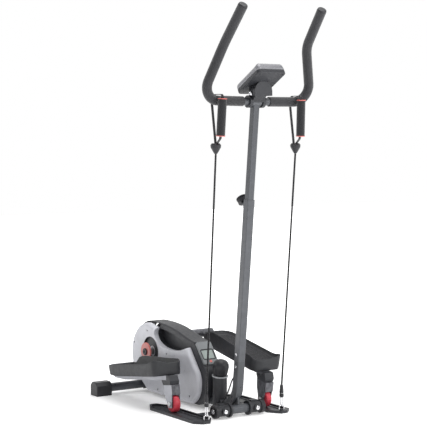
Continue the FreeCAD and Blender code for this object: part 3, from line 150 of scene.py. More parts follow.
def tube_mesh(name, path, radius_at, sides):
    """A closed tube round a path; radius_at(distance, angle) gives its radius in metres."""
    vertices = []
    distance = 0.0
    across = (path[1] - path[0]).orthogonal().normalized()
    count = len(path)
    for i, place in enumerate(path):
        ahead = path[min(i + 1, count - 1)] - path[max(i - 1, 0)]
        ahead.normalize()
        across = (across - ahead * across.dot(ahead)).normalized()
        other = ahead.cross(across)
        distance += (place - path[max(i - 1, 0)]).length
        for k in range(sides):
            angle = 2 * math.pi * k / sides
            r = radius_at(distance, angle)
            vertices.append(place + across * (r * math.cos(angle)) + other * (r * math.sin(angle)))
    low_cap, high_cap = end_caps(count, sides)
    return mesh_piece(name, vertices, ring_faces(count, sides) + [low_cap[::-1], high_cap])


# ---- materials --------------------------------------------------------------------------------
class Shader:
    """A node material built round one Principled shader."""

    def __init__(self, name, **sockets):
        self.material = bpy.data.materials.new(name)
        self.material.use_nodes = True
        self.tree = self.material.node_tree
        self.shader = self.tree.nodes["Principled BSDF"]
        for key, value in sockets.items():
            self.shader.inputs[key.replace("_", " ")].default_value = value
        self.place = self.node("ShaderNodeTexCoord").outputs["Object"]

    def node(self, kind, **settings):
        made = self.tree.nodes.new(kind)
        for key, value in settings.items():
            setattr(made, key, value)
        return made

    def join(self, source, target):
        self.tree.links.new(source, target)

    def stretched(self, scale):
        mapping = self.node("ShaderNodeMapping")
        mapping.inputs["Scale"].default_value = scale
        self.join(self.place, mapping.inputs["Vector"])
        return mapping.outputs["Vector"]

    def noise(self, scale, detail=3.0, vector=None):
        made = self.node("ShaderNodeTexNoise")
        made.inputs["Scale"].default_value = scale
        made.inputs["Detail"].default_value = detail
        self.join(vector or self.place, made.inputs["Vector"])
        return made.outputs["Fac"]

    def cells(self, scale):
        made = self.node("ShaderNodeTexVoronoi", feature="F1")
        made.inputs["Scale"].default_value = scale
        self.join(self.place, made.inputs["Vector"])
        return made.outputs["Distance"]

    def wave(self, scale, direction, distortion=0.0):
        made = self.node("ShaderNodeTexWave", bands_direction=direction)
        made.inputs["Scale"].default_value = scale
        made.inputs["Distortion"].default_value = distortion
        self.join(self.place, made.inputs["Vector"])
        return made.outputs["Fac"]

    def math(self, operation, a, b):
        made = self.node("ShaderNodeMath", operation=operation)
        for socket, value in zip(made.inputs, (a, b)):
            if isinstance(value, (int, float)):
                socket.default_value = value
            else:
                self.join(value, socket)
        return made.outputs[0]

    def ranged(self, value, low, high, from_low=0.3, from_high=0.7):
        made = self.node("ShaderNodeMapRange")
        made.inputs["From Min"].default_value = from_low
        made.inputs["From Max"].default_value = from_high
        made.inputs["To Min"].default_value = low
        made.inputs["To Max"].default_value = high
        self.join(value, made.inputs["Value"])
        return made.outputs["Result"]

    def mixed(self, share, first, second):
        made = self.node("ShaderNodeMix", data_type="RGBA")
        colour_sockets = [s for s in made.inputs if s.type == "RGBA"]
        self.join(share, made.inputs["Factor"])
        for socket, value in zip(colour_sockets, (first, second)):
            if isinstance(value, tuple):
                socket.default_value = (*value, 1.0)
            else:
                self.join(value, socket)
        return next(s for s in made.outputs if s.type == "RGBA")

    def worn(self, colour, strength, tint):
        """Lighter along sharp edges, where hands and shoes rub."""
        pointed = self.node("ShaderNodeNewGeometry").outputs["Pointiness"]
        edge = self.ranged(pointed, 0.0, strength, 0.52, 0.62)
        patchy = self.math("MULTIPLY", edge, self.ranged(self.noise(55.0), 0.2, 1.0))
        return self.mixed(patchy, colour, tint)

    def base(self, colour):
        self.join(colour, self.shader.inputs["Base Color"])

    def roughness(self, value):
        self.join(value, self.shader.inputs["Roughness"])

    def bump(self, height, distance):
        made = self.node("ShaderNodeBump")
        made.inputs["Distance"].default_value = distance
        made.inputs["Strength"].default_value = 1.0
        self.join(height, made.inputs["Height"])
        self.join(made.outputs["Normal"], self.shader.inputs["Normal"])


def scaled(colour, factor):
    return tuple(min(1.0, c * factor) for c in colour)


def paint(name, colour, rough, metallic=0.0, coat=0.0):
    """Powder coat: slight orange peel, faint cloudiness, rubbed edges."""
    s = Shader(name, Metallic=metallic, Coat_Weight=coat, Coat_Roughness=0.25)
    cloud = s.ranged(s.noise(7.0), 0.0, 1.0)
    body = s.mixed(cloud, scaled(colour, 0.93), scaled(colour, 1.07))
    s.base(s.worn(body, 0.5, scaled(colour, 1.8)))
    s.roughness(s.ranged(s.noise(30.0, 5.0), rough - 0.05, rough + 0.06))
    s.bump(s.noise(900.0, 2.0), 0.00006)
    return s.material


def moulded(name, colour, rough, grain=1400.0, depth=0.00008, specular=0.45, wear=0.35):
    """Injection moulded plastic: spark-eroded grain, faint flow marks, scuffed edges."""
    s = Shader(name, Specular_IOR_Level=specular)
    flow = s.ranged(s.noise(11.0, 4.0), 0.0, 1.0)
    body = s.mixed(flow, scaled(colour, 0.90), scaled(colour, 1.10))
    s.base(s.worn(body, wear, scaled(colour, 1.7)))
    s.roughness(s.ranged(s.noise(70.0, 5.0), rough - 0.06, rough + 0.07))
    s.bump(s.math("ADD", s.noise(grain, 3.0), s.math("MULTIPLY", s.cells(grain * 0.6), 0.6)), depth)
    return s.material


def gloss(name, colour, rough, coat=0.5):
    """Polished moulding with hairline scratches and lightly rubbed edges."""
    s = Shader(name, Coat_Weight=coat, Coat_Roughness=0.06)
    body = s.mixed(s.ranged(s.noise(9.0), 0.0, 1.0), scaled(colour, 0.95), scaled(colour, 1.05))
    s.base(s.worn(body, 0.25, scaled(colour, 1.4)))
    scratch = s.noise(60.0, 8.0, s.stretched((1.0, 14.0, 1.0)))
    s.roughness(s.ranged(scratch, rough - 0.04, rough + 0.08))
    s.bump(s.noise(1800.0, 2.0), 0.00002)
    return s.material


def foam(name, colour):
    """Closed-cell foam sleeve: small open pores, chalky sheen, handled patches."""
    s = Shader(name, Sheen_Weight=0.25, Sheen_Roughness=0.5, Specular_IOR_Level=0.3)
    handled = s.ranged(s.noise(18.0, 4.0), 0.0, 1.0)
    body = s.mixed(handled, scaled(colour, 0.8), scaled(colour, 1.25))
    pores = s.ranged(s.cells(900.0), 0.0, 1.0, 0.1, 0.5)
    s.base(s.mixed(pores, scaled(colour, 0.45), body))
    s.roughness(s.ranged(handled, 0.62, 0.82, 0.0, 1.0))
    s.bump(s.math("ADD", pores, s.noise(260.0, 3.0)), 0.00025)
    return s.material


def webbing(name, colour):
    """Flat woven strap: ribs across, fine threads along."""
    s = Shader(name, Sheen_Weight=0.4, Sheen_Roughness=0.4, Specular_IOR_Level=0.25)
    ribs = s.wave(320.0, "Z", 0.4)
    threads = s.wave(620.0, "X", 0.6)
    weave = s.math("ADD", ribs, s.math("MULTIPLY", threads, 0.6))
    s.base(s.mixed(s.ranged(weave, 0.0, 1.0, 0.2, 1.4), scaled(colour, 0.5), scaled(colour, 1.7)))
    s.roughness(s.ranged(s.noise(90.0), 0.7, 0.9))
    s.bump(weave, 0.0003)
    return s.material


def braid(name, colour):
    """Braided sheath of an elastic cord."""
    s = Shader(name, Sheen_Weight=0.3, Sheen_Roughness=0.4, Specular_IOR_Level=0.3)
    one = s.wave(330.0, "DIAGONAL", 0.2)
    other = s.wave(330.0, "Z", 0.2)
    weave = s.math("MULTIPLY", one, other)
    s.base(s.mixed(s.ranged(weave, 0.0, 1.0, 0.1, 0.8), scaled(colour, 0.5), scaled(colour, 2.0)))
    s.roughness(s.ranged(s.noise(120.0), 0.6, 0.85))
    s.bump(weave, 0.0003)
    return s.material


def metal(name, colour, rough, streak=(1.0, 1.0, 40.0), stain=0.12):
    """Bare or plated metal with machining streaks and faint stains."""
    s = Shader(name, Metallic=1.0)
    streaks = s.noise(120.0, 6.0, s.stretched(streak))
    s.base(s.mixed(s.ranged(s.noise(35.0, 5.0), 0.0, 1.0), scaled(colour, 1.0 - stain), colour))
    s.roughness(s.ranged(streaks, max(rough - 0.06, 0.03), rough + 0.10))
    s.bump(streaks, 0.00003)
    return s.material


def rubbery(name, colour, rough):
    """Moulded rubber with a little settled dust."""
    s = Shader(name, Specular_IOR_Level=0.4)
    dust = s.ranged(s.noise(26.0, 6.0), 0.0, 1.0, 0.42, 0.75)
    s.base(s.mixed(dust, colour, scaled(colour, 1.35)))
    s.roughness(s.ranged(s.noise(50.0), rough - 0.08, rough + 0.08))
    s.bump(s.noise(1100.0, 3.0), 0.00008)
    return s.material


def liquid_crystal(name, colour):
    """Grey-green display under a clear lens, faintly clouded, with a fine grid of cells."""
    s = Shader(name, Coat_Weight=1.0, Coat_Roughness=0.03, Roughness=0.25)
    cells = s.math("MULTIPLY", s.wave(900.0, "X"), s.wave(900.0, "Y"))
    cloud = s.mixed(s.ranged(s.noise(20.0), 0.0, 1.0), scaled(colour, 0.92), scaled(colour, 1.06))
    s.base(s.mixed(s.ranged(cells, 0.0, 0.12, 0.0, 1.0), cloud, scaled(colour, 0.6)))
    s.bump(s.noise(600.0), 0.00001)
    return s.material


MATERIALS = {
    "grey_paint": paint("grey_paint", (0.048, 0.051, 0.058), 0.32, metallic=0.2, coat=0.2),
    "silver_cover": moulded("silver_cover", (0.53, 0.535, 0.575), 0.33, grain=1600, depth=0.00004,
                            wear=0.2),
    "dark_plastic": moulded("dark_plastic", (0.024, 0.025, 0.029), 0.42, specular=0.36),
    "tray_plastic": moulded("tray_plastic", (0.024, 0.025, 0.028), 0.46, grain=1100, depth=0.00012,
                            specular=0.36),
    "black_plastic": moulded("black_plastic", (0.014, 0.014, 0.017), 0.40, specular=0.38),
    "light_plastic": gloss("light_plastic", (0.30, 0.31, 0.325), 0.26, coat=0.4),
    "screen": liquid_crystal("screen", (0.235, 0.275, 0.26)),
    "foam": foam("foam", (0.026, 0.026, 0.029)),
    "accent_red": gloss("accent_red", (0.52, 0.13, 0.115), 0.34, coat=0.2),
    "wheel_red": rubbery("wheel_red", (0.46, 0.035, 0.055), 0.42),
    "webbing": webbing("webbing", (0.016, 0.016, 0.018)),
    "elastic": braid("elastic", (0.010, 0.010, 0.012)),
    "chrome": metal("chrome", (0.72, 0.72, 0.74), 0.12, streak=(1.0, 1.0, 4.0), stain=0.05),
    "steel": metal("steel", (0.50, 0.51, 0.52), 0.32),
    "silver_paint": paint("silver_paint", (0.33, 0.34, 0.36), 0.36, metallic=0.45),
    "iron": metal("iron", (0.20, 0.20, 0.20), 0.45),
    "belt_rubber": rubbery("belt_rubber", (0.02, 0.02, 0.02), 0.6),
}


def dress(piece, slot):
    piece.data.materials.clear()
    piece.data.materials.append(MATERIALS[slot])
    return piece


def plate_paint_and_painted_shade(name, side, outer, inner):
    """Steel arm: bright plated face on the pedal's outer side, dark on the rest, partly dark paint and
    partly painted shade on the faces turned away from that side.
    """
    s = Shader(name, Metallic=0.3)
    split = s.node("ShaderNodeSeparateXYZ")
    s.join(s.node("ShaderNodeTexCoord").outputs["Normal"], split.inputs[0])
    # Faces turned to the pedal's outer side get the bright plate; every other face gets the dark colour,
    # which is dark paint with painted shade laid on it.
    plate_not_shade_mask = s.ranged(split.outputs["X"], 0.0, 1.0, 0.55 * side, 0.8 * side)
    cloud = s.ranged(s.noise(9.0), 0.0, 1.0)
    bright = s.mixed(cloud, scaled(outer, 0.9), scaled(outer, 1.1))
    s.base(s.worn(s.mixed(plate_not_shade_mask, inner, bright), 0.4, scaled(outer, 1.3)))
    s.roughness(s.ranged(s.noise(40.0, 5.0), 0.28, 0.40))
    s.bump(s.noise(900.0, 2.0), 0.00005)
    return s.material


def repaint(node, material):
    for material_slot in NODES[node].material_slots:
        material_slot.material = material


def dress_nodes():
    for part in frame["record"]["subparts"]:
        node = NODES[part["node"]]
        material = MATERIALS[part["material_slot"]]
        if not node.material_slots:
            node.data.materials.append(material)
        for index in range(len(node.material_slots)):
            node.material_slots[index].link = "OBJECT"
            node.material_slots[index].material = material


# ---- cords ------------------------------------------------------------------------------------
RING_X = 0.167
RING_Y = -0.243
SLEEVE_TOP = 0.098
BEAD = (0.174, -0.313513, 0.965)
CORD_R = 0.0036
CORD_END_GAP = 0.0005
CORD_LEAD = 12 * CORD_R
CORD_RINGS = 150
CORD_SIDES = 24
BRAID_PITCH = 0.028
BRAID_STRANDS = 6
BRAID_DEPTH = 0.035                  # share of the radius by which the strands rise and fall
CABLE_R = 0.0025
CABLE_ROUTE = [(-4, -180, 142), (-5, -167, 128), (-9, -159, 100), (-18, -153, 72),
               (-26, -143, 48), (-29, -125, 35), (-25, -108, 34)]


def elastic_cord(side, name):
    """A taut braided cord from its floor hook up to its bead, with the sheath's twist as geometry."""
    low = Vector((side * RING_X, RING_Y, SLEEVE_TOP))
    high = Vector((side * BEAD[0], BEAD[1], BEAD[2]))
    run = (high - low).normalized()
    low += run * CORD_END_GAP
    high -= run * CORD_END_GAP
    lead = run * CORD_LEAD
    path = spline_points([low, low + lead, high - lead, high], steps=CORD_RINGS)

    def radius(distance, angle):
        turn = 2 * math.pi * distance / BRAID_PITCH
        return CORD_R * (1 - BRAID_DEPTH + BRAID_DEPTH * math.cos(BRAID_STRANDS * (angle + turn / 2)))

    cord = tube_mesh(name + "_cord_sheath", path, radius, CORD_SIDES)
    dress(cord, "elastic")
    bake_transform(cord)
    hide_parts(name + "_elastic_cord")


def sensor_cable():
    points = [Vector(p) * MM for p in CABLE_ROUTE]
    cable = spline_curve("sensor_lead", points, CABLE_R)
    cable.data.materials.append(MATERIALS["black_plastic"])
    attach(cable, "frame")
    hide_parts("sensor_cable")
    places = spline_points(points)


elastic_cord(-1, "right")
elastic_cord(1, "left")
sensor_cable()

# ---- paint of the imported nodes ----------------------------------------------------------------
ARM_BRIGHT = (0.31, 0.315, 0.345)
# The dark arm colour is both dark paint and painted shade on the arm faces turned away from the pedal's
# outer side.
ARM_DARK_PAINT_AND_SHADE = (0.022, 0.022, 0.026)

dress_nodes()
repaint("right_pedal_arm", plate_paint_and_painted_shade("right_arm_paint_and_shade", -1, ARM_BRIGHT, ARM_DARK_PAINT_AND_SHADE))
repaint("left_pedal_arm", plate_paint_and_painted_shade("left_arm_paint_and_shade", 1, ARM_BRIGHT, ARM_DARK_PAINT_AND_SHADE))
repaint("stirrup_grips", foam("stirrup_foam", (0.011, 0.011, 0.013)))
repaint("base_console", gloss("base_panel", (0.155, 0.165, 0.172), 0.30, coat=0.3))


# ---- lofted pieces ----------------------------------------------------------------------------
ARC_POINTS = 9
SIDE_POINTS = 12


def rounded_plan(x0, x1, y0, y1, radii, inset=0.0):
    """Points round a rectangle whose corners each have their own radius, pulled in by inset.

    The corners run (x0, y0), (x1, y0), (x1, y1), (x0, y1); every call gives the same number of points.
    """
    arcs = []
    for (x, y, sx, sy, start), radius in zip(((x0, y0, 1, 1, 180), (x1, y0, -1, 1, 270),
                                              (x1, y1, -1, -1, 0), (x0, y1, 1, -1, 90)), radii):
        reach = max(radius, inset + 0.5)
        centre = (x + sx * reach, y + sy * reach)
        bend = reach - inset
        angles = [math.radians(start + 90 * k / (ARC_POINTS - 1)) for k in range(ARC_POINTS)]
        arcs.append([(centre[0] + bend * math.cos(t), centre[1] + bend * math.sin(t)) for t in angles])
    points = []
    for arc, after in zip(arcs, arcs[1:] + arcs[:1]):
        points += arc
        (ax, ay), (bx, by) = arc[-1], after[0]
        for k in range(1, SIDE_POINTS + 1):
            share = k / (SIDE_POINTS + 1)
            points.append((ax + (bx - ax) * share, ay + (by - ay) * share))
    return points


def level_ring(sides, radii, inset, height):
    return [(x, y, height) for x, y in rounded_plan(*sides, radii, inset)]


def loft(name, rings, place, slot):
    """A closed skin over rings of equal count, its first and last ring capped, moved by place."""
    count = len(rings[0])
    vertices = [place(Vector(p)) * MM for ring in rings for p in ring]
    piece = mesh_piece(name, vertices, ring_faces(len(rings), count) + end_caps(len(rings), count))
    dress(piece, slot)
    return piece


def eased(value, low, high):
    share = min(1.0, max(0.0, (value - low) / (high - low)))
    return share * share * (3 - 2 * share)


# ---- foot trays -------------------------------------------------------------------------------
TRAY_SIDES = (-240.0, -110.0)
TRAY_ENDS = (7.0, 384.0)
TRAY_CORNERS = (24.0, 34.0, 30.0, 42.0)
TRAY_BOTTOM = 105.0
TRAY_FLOOR = 139.0
RIM_HEIGHT = 152.0
RIM_DROP = 3.0
RIM_FALLS = (250, 384)
GUARD_LOW = 11.0
GUARD_GROWTH = 12.0
GUARD_STARTS = (16, 46)
GUARD_GROWS = (40, 322)
GUARD_ENDS = (322, 352)
GUARD_SIDE = (-124, -112)
LIP_RISE = 11.0
LIP_REACH = (10, 62)
BELLY_RISE = 8.0
BELLY_CLIMBS = (300, 384)
# Rings of the tray's skin from the middle of its underside, over the rim, to the middle of its floor:
# how far each is pulled in, and its height above the belly, below the rim or above the floor.
BELLY_RINGS = ((60.0, 0.0), (40.0, 0.0), (20.0, 0.0), (7.0, 0.0), (4.0, 1.2), (2.4, 5.0), (1.4, 16.0))
RIM_RINGS = ((0.6, 12.0), (0.2, 5.0), (0.2, 2.0), (0.9, 0.5), (2.2, 0.0), (3.4, 0.6), (4.0, 2.4))
FLOOR_RINGS = ((4.8, 5.0), (6.5, 1.6), (9.5, 0.2), (22.0, 0.0), (40.0, 0.0), (60.0, 0.0))
PAD_FROM = 34.0
PAD_TO = 352.0
PAD_STEP = 8.0
PAD_EDGE = 16.0
PAD_TAPER = 14.0                     # how much shorter the first and last ribs are at each end
PAD_TAPERS = (-2, 22)                # and over what distance from the pad's ends that fades
RIB_SIDES = 7
RIB_HALF = 2.4
RIB_HIGH = 1.6
RIB_LIFT = 0.2
# Each pedal's side, its wheel axle along Y, and its tilt in degrees, all at rest.
PEDAL_PLACES = {"right": (-1, -27.312, -7.997), "left": (1, -131.583, 10.415)}
AXLE_Z = 36.0


def pedal_place(side_name):
    """From a pedal's level frame, in mm, to where that pedal rests."""
    side, wheel_y, tilt = PEDAL_PLACES[side_name]
    turn = Matrix.Rotation(math.radians(tilt), 3, "X")

    def place(point):
        return turn @ Vector((-side * point.x, point.y, point.z)) + Vector((0, wheel_y, AXLE_Z))

    return place


def tray_rim(x, u):
    """Height of the tray's rim: a guard along the inner side and a lip at the outer toe."""
    base = RIM_HEIGHT - RIM_DROP * eased(u, *RIM_FALLS)
    guard = (GUARD_LOW + GUARD_GROWTH * eased(u, *GUARD_GROWS)) * eased(u, *GUARD_STARTS)
    guard *= (1 - eased(u, *GUARD_ENDS)) * eased(x, *GUARD_SIDE)
    corner = math.hypot(x - TRAY_SIDES[0], u - TRAY_ENDS[0])
    return base + guard + LIP_RISE * (1 - eased(corner, *LIP_REACH))


def tray_belly(u):
    return TRAY_BOTTOM + BELLY_RISE * eased(u, *BELLY_CLIMBS)


def foot_tray(side_name):
    def ring(inset, height):
        plan = rounded_plan(*TRAY_SIDES, *TRAY_ENDS, TRAY_CORNERS, inset)
        return [(x, u, height(x, u)) for x, u in plan]

    rings = [ring(inset, lambda x, u, up=up: tray_belly(u) + up) for inset, up in BELLY_RINGS]
    rings += [ring(inset, lambda x, u, down=down: tray_rim(x, u) - down) for inset, down in RIM_RINGS]
    rings += [ring(inset, lambda x, u, up=up: TRAY_FLOOR + up) for inset, up in FLOOR_RINGS]
    tray = loft(side_name + "_foot_tray", rings, pedal_place(side_name), "tray_plastic")
    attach(tray, side_name + "_pedal")
    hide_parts(side_name + "_pedal_tray")


def foot_pad(side_name):
    """Low ribs across the tray's floor, under the sole."""
    place = pedal_place(side_name)
    x0, x1 = TRAY_SIDES
    vertices = []
    faces = []
    u = PAD_FROM
    while u < PAD_TO:
        trim = PAD_EDGE + PAD_TAPER * (1 - eased(min(u - PAD_FROM, PAD_TO - u), *PAD_TAPERS))
        for x in (x0 + trim, x1 - trim):
            for k in range(RIB_SIDES):
                angle = math.pi * k / (RIB_SIDES - 1)
                height = TRAY_FLOOR + RIB_LIFT + RIB_HIGH * math.sin(angle)
                vertices.append(place(Vector((x, u + RIB_HALF * math.cos(angle), height))) * MM)
        first = len(vertices) - 2 * RIB_SIDES
        for k in range(RIB_SIDES):
            n = (k + 1) % RIB_SIDES
            faces.append((first + k, first + n, first + RIB_SIDES + n, first + RIB_SIDES + k))
        faces.append(tuple(first + k for k in range(RIB_SIDES)))
        faces.append(tuple(first + RIB_SIDES + k for k in range(RIB_SIDES)))
        u += PAD_STEP
    pad = mesh_piece(side_name + "_sole_ribs", vertices, faces, smooth=False)
    dress(pad, "black_plastic")
    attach(pad, side_name + "_pedal")


for pedal_side in PEDAL_PLACES:
    foot_tray(pedal_side)
    foot_pad(pedal_side)


# ---- console case -----------------------------------------------------------------------------
CONSOLE_PLAN = (-61.0, 61.0, 0.0, 152.0)
CONSOLE_ORIGIN = Vector((0.0, -305.513 - 108.0, 1150.0 + 100.0))
CONSOLE_TILT = Matrix.Rotation(math.radians(-29.0), 3, "X")
CONSOLE_WINDOW = (-42.0, 42.0, 20.0, 92.0)
HOOD_RISE = 9.0
HOOD_CORNER = 16.0
HOOD_LIFTS = (16, 34)                # heights between which the hood's rise sets in
HOOD_REACH = (-4, 19)                # and where along the case it fades, from the end far from the rider
HOOD_RINGS = ((0.0, 13.1), (0.0, 19.0), (0.8, 24.0), (2.6, 28.5),
              (5.6, 32.4), (9.6, 35.0), (14.0, 36.0))
WINDOW_CORNER = 3.0
WINDOW_RINGS = ((-1.6, 36.0), (-0.4, 35.4), (0.0, 34.6), (0.2, 33.0))


def console_place(point):
    return CONSOLE_TILT @ point + CONSOLE_ORIGIN


def console_case():
    """Hooded moulding, well rounded round its top, with the display's window sunk in it."""
    rings = []
    for inset, z in HOOD_RINGS:
        rings.append([(x, y, z + HOOD_RISE * eased(z, *HOOD_LIFTS) * (1 - eased(y, *HOOD_REACH)))
                      for x, y in rounded_plan(*CONSOLE_PLAN, (HOOD_CORNER,) * 4, inset)])
    rings += [level_ring(CONSOLE_WINDOW, (WINDOW_CORNER,) * 4, inset, z) for inset, z in WINDOW_RINGS]
    case = loft("console_hood", rings, console_place, "light_plastic")
    case.data.materials[0] = gloss("hood_silver", (0.17, 0.17, 0.185), 0.2, coat=0.5)
    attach(case, "console")
    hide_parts("console_case")


console_case()


# ---- crank wells ------------------------------------------------------------------------------
CRANK_AXIS = (331.0, 175.0)
WELL_PROFILE = ((47.15, 21.0), (47.15, 57.85), (55.3, 57.85), (55.3, 57.3), (47.8, 57.3), (47.8, 21.0))
WELL_STEPS = 96


def crank_well(side, name):
    """Dark liner in the round well that the crank turns in."""
    vertices = []
    for i in range(WELL_STEPS):
        angle = 2 * math.pi * i / WELL_STEPS
        for x, r in WELL_PROFILE:
            vertices.append(Vector((side * x, CRANK_AXIS[0] + r * math.cos(angle),
                                    CRANK_AXIS[1] + r * math.sin(angle))) * MM)
    faces = closed_faces(WELL_STEPS, len(WELL_PROFILE))
    liner = mesh_piece(name + "_crank_well", vertices, faces, smooth=False)
    dress(liner, "dark_plastic")
    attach(liner, "frame")


crank_well(-1, "right")
crank_well(1, "left")


# ---- base console -----------------------------------------------------------------------------
SLOPE_TURN = Matrix.Rotation(math.radians(51.259), 3, "X")
SLOPE_ORIGIN = Vector((0.0, 8.5, 204.0))
BASE_WINDOW = (-25.0, 25.0, -26.0, 12.0)
BEZEL_CORNER = 4.0
BEZEL_SECTION = ((-4.5, 5.6), (-4.4, 6.5), (-3.6, 6.9), (-0.6, 6.9), (0.2, 6.3), (0.3, 5.2))


def slope_place(point):
    return SLOPE_TURN @ point + SLOPE_ORIGIN


def display_bezel():
    """Dark frame round the lower display."""
    rings = [level_ring(BASE_WINDOW, (BEZEL_CORNER,) * 4, inset, z) for inset, z in BEZEL_SECTION]
    vertices = [slope_place(Vector(p)) * MM for ring in rings for p in ring]
    bezel = mesh_piece("base_bezel", vertices, closed_faces(len(rings), len(rings[0])))
    dress(bezel, "black_plastic")
    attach(bezel, "frame")


display_bezel()


# ---- turned pieces ----------------------------------------------------------------------------
def turned(name, profile, place, slot, steps, lobe=None):
    """A closed turned form from (radius, height) pairs in mm; lobe(angle, height) scales the radius."""
    rings = []
    for r, z in profile:
        ring = []
        for k in range(steps):
            angle = 2 * math.pi * k / steps
            grown = r * (lobe(angle, z) if lobe else 1.0)
            ring.append((grown * math.cos(angle), grown * math.sin(angle), z))
        rings.append(ring)
    return loft(name, rings, place, slot)


DIAL_TURN = Matrix.Rotation(math.radians(8.0), 3, "X")
DIAL_AT = Vector((0.0, -81.0, 129.0))
KNOB_PROFILE = ((5.0, -9.0), (5.0, 5.6), (24.0, 5.6), (26.5, 7.0), (27.5, 12.0), (28.6, 18.0),
                (30.0, 24.0), (31.2, 30.0), (31.8, 36.0), (31.4, 42.0), (30.0, 48.0), (27.4, 53.5),
                (23.6, 58.5), (18.6, 62.2), (12.6, 64.6), (6.4, 65.7), (1.5, 66.0))
KNOB_GRIPS = 10
HOLLOW_DEPTH = 0.055                 # share of the radius
HOLLOW_STARTS = (5, 14)
HOLLOW_ENDS = (34, 56)


def dial_place(point):
    return DIAL_TURN @ point + DIAL_AT


def knob_lobe(angle, height):
    """Ten soft finger hollows round the knob's waist, gone towards its crown."""
    depth = HOLLOW_DEPTH * eased(height, *HOLLOW_STARTS) * (1 - eased(height, *HOLLOW_ENDS))
    return 1.0 - depth * (0.5 + 0.5 * math.cos(KNOB_GRIPS * angle))


knob = turned("knob_dome", KNOB_PROFILE, dial_place, "black_plastic", steps=120, lobe=knob_lobe)
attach(knob, "tension_knob")
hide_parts("tension_knob")

BOOT_PROFILE = ((6.3, 0.0), (7.4, 1.0), (8.2, 5.0), (8.3, 10.0), (7.5, 13.0), (7.5, 16.0), (7.9, 18.0),
                (7.3, 26.0), (6.6, 34.0), (6.3, 40.0), (5.4, 45.0), (4.4, 47.0))
BOOT_LOW = 59.0
BOOT_STEPS = 40


def cord_boot(side, name):
    """Black sleeve over the crimped end of an elastic cord."""
    foot = Vector((side * RING_X / MM, RING_Y / MM, BOOT_LOW))
    boot = turned(name + "_cord_boot", BOOT_PROFILE, lambda point: point + foot, "black_plastic",
                  steps=BOOT_STEPS)
    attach(boot, "frame")


cord_boot(-1, "right")
cord_boot(1, "left")


# ---- housing cheeks ---------------------------------------------------------------------------
HOUSING_SHIFT = -14.0
SLOPE_TOP = Vector((57.0, 247.0))
SLOPE_LOW = Vector((-12.0, 161.0))
NOSE_CENTRE = Vector((50.0, 98.0))
NOSE_RADIUS = 92.0
CHEEK_X = (33.4, 35.5)
CHEEK_SETBACK = 34.0             # how far the covers stop short of the shell's front
CHEEK_OUTER_INSET = 3.3
CHEEK_INNER_INSET = 17.0
CHEEK_OUTER_RUN = (0.05, 1.0)    # stretch of the slope that each edge follows, from its top down
CHEEK_INNER_RUN = (0.30, 1.02)
CHEEK_OUTER_TOE = Vector((22.0, 13.4))
CHEEK_INNER_TOE = Vector((26.0, 13.4))
SLOPE_STEPS = 9
NOSE_STEPS = 24


def slope_point(inset, share):
    run = SLOPE_LOW - SLOPE_TOP
    return SLOPE_TOP + run * share + Vector((-run.y, run.x)) * (inset / run.length)


def arc_through(a, b, c, count):
    """Points on the circle through a, b and c, from a to c by way of b."""
    ab, ac = b - a, c - a
    cross = 2 * (ab.x * ac.y - ab.y * ac.x)
    centre = a + Vector((ac.y * ab.length_squared - ab.y * ac.length_squared,
                         ab.x * ac.length_squared - ac.x * ab.length_squared)) / cross
    start = math.atan2(a.y - centre.y, a.x - centre.x)
    end = math.atan2(c.y - centre.y, c.x - centre.x)
    if end < start:
        end += 2 * math.pi
    radius = (a - centre).length
    return [centre + Vector((math.cos(t), math.sin(t))) * radius
            for t in (start + (end - start) * k / (count - 1) for k in range(count))]


def front_edge(inset, setback, first, last, nose_low):
    """The housing's front outline from the slope down round the nose, moved back by setback."""
    line = [slope_point(inset, first + (last - first) * k / SLOPE_STEPS) for k in range(SLOPE_STEPS)]
    nose = Vector((NOSE_CENTRE.x - NOSE_RADIUS + inset, NOSE_CENTRE.y))
    back = Vector((setback, 0))
    return [p + back for p in line + arc_through(slope_point(inset, last), nose, nose_low, NOSE_STEPS)]


def housing_cheek(side, name):
    """Dark side wall of the centre shell, in front of the silver cover."""
    outer = front_edge(CHEEK_OUTER_INSET, 0.0, *CHEEK_OUTER_RUN, CHEEK_OUTER_TOE)
    inner = front_edge(CHEEK_INNER_INSET, CHEEK_SETBACK, *CHEEK_INNER_RUN, CHEEK_INNER_TOE)
    count = len(outer)
    vertices = [Vector((side * x, p.x + HOUSING_SHIFT, p.y)) * MM
                for x in CHEEK_X for edge in (outer, inner) for p in edge]
    faces = []
    for k in range(count - 1):
        faces.append((k, k + 1, count + k + 1, count + k))
        faces.append((2 * count + k, 2 * count + k + 1, 3 * count + k + 1, 3 * count + k))
        faces.append((k, k + 1, 2 * count + k + 1, 2 * count + k))
        faces.append((count + k, count + k + 1, 3 * count + k + 1, 3 * count + k))
    for k in (0, count - 1):
        faces.append((k, count + k, 3 * count + k, 2 * count + k))
    cheek = mesh_piece(name + "_housing_cheek", vertices, faces, smooth=False)
    dress(cheek, "dark_plastic")
    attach(cheek, "frame")


housing_cheek(-1, "right")
housing_cheek(1, "left")


# ---- studio -----------------------------------------------------------------------------------
def area_light(name, place, aim, size, power):
    data = bpy.data.lights.new(name, "AREA")
    data.shape = "DISK"
    data.size = size
    data.energy = power
    light = bpy.data.objects.new(name, data)
    light.location = place
    light.rotation_euler = (Vector(aim) - Vector(place)).to_track_quat("-Z", "Y").to_euler()
    SCENE.collection.objects.link(light)


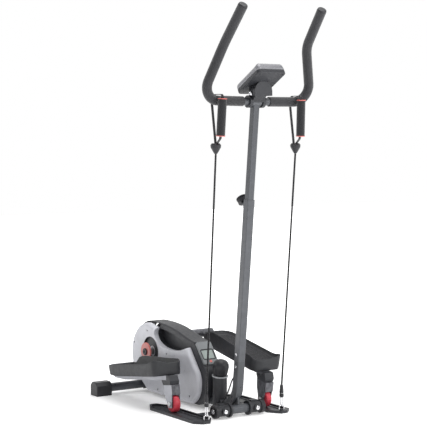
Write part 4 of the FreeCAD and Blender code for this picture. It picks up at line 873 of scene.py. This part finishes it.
FLOOR_HALF = 12.0
FLOOR_GLOW = 0.22                # share of white that the floor gives off under the machine
FLOOR_LIT = 0.55                 # metres from the middle where that share starts to grow
FLOOR_WHITE = 1.7                # and where it is all white
SHADE_SIDE = 0.5                 # strength of the sky on the machine's right
SHADE_END = 0.3                  # direction along X from which it is at full strength


def make_studio():
    half = FLOOR_HALF
    corners = [(-half, -half, 0), (half, -half, 0), (half, half, 0), (-half, half, 0)]
    floor = mesh_piece("floor", corners, [(0, 1, 2, 3)], smooth=False)
    s = Shader("studio_floor", Roughness=0.6, Emission_Color=(1.0, 1.0, 1.0, 1.0))
    s.base(s.mixed(s.ranged(s.noise(0.8), 0.0, 1.0), (0.88, 0.88, 0.885), (0.91, 0.91, 0.91)))
    away = s.node("ShaderNodeVectorMath", operation="LENGTH")
    s.join(s.place, away.inputs[0])
    glow = s.ranged(away.outputs["Value"], FLOOR_GLOW, 1.0, FLOOR_LIT, FLOOR_WHITE)
    s.join(glow, s.shader.inputs["Emission Strength"])
    floor.data.materials.append(s.material)
    world = bpy.data.worlds.new("studio_world")
    SCENE.world = world
    world.use_nodes = True
    tree = world.node_tree
    split = tree.nodes.new("ShaderNodeSeparateXYZ")
    dim = tree.nodes.new("ShaderNodeMapRange")
    for socket, value in (("From Min", -1.0), ("From Max", SHADE_END),
                          ("To Min", SHADE_SIDE), ("To Max", 1.0)):
        dim.inputs[socket].default_value = value
    tree.links.new(tree.nodes.new("ShaderNodeTexCoord").outputs["Generated"], split.inputs[0])
    tree.links.new(split.outputs["X"], dim.inputs["Value"])
    tree.links.new(dim.outputs["Result"], tree.nodes["Background"].inputs["Strength"])
    tree.nodes["Background"].inputs["Color"].default_value = (1.0, 1.0, 1.0, 1.0)
    middle = (0.0, 0.0, 0.6)
    area_light("top", (0.2, -0.3, 3.6), middle, 2.2, 50.0)
    area_light("key", (1.0, -3.6, 2.2), middle, 1.6, 55.0)
    area_light("rim", (-2.6, 2.4, 2.0), middle, 1.0, 14.0)
    SCENE.view_settings.view_transform = "Standard"


make_studio()
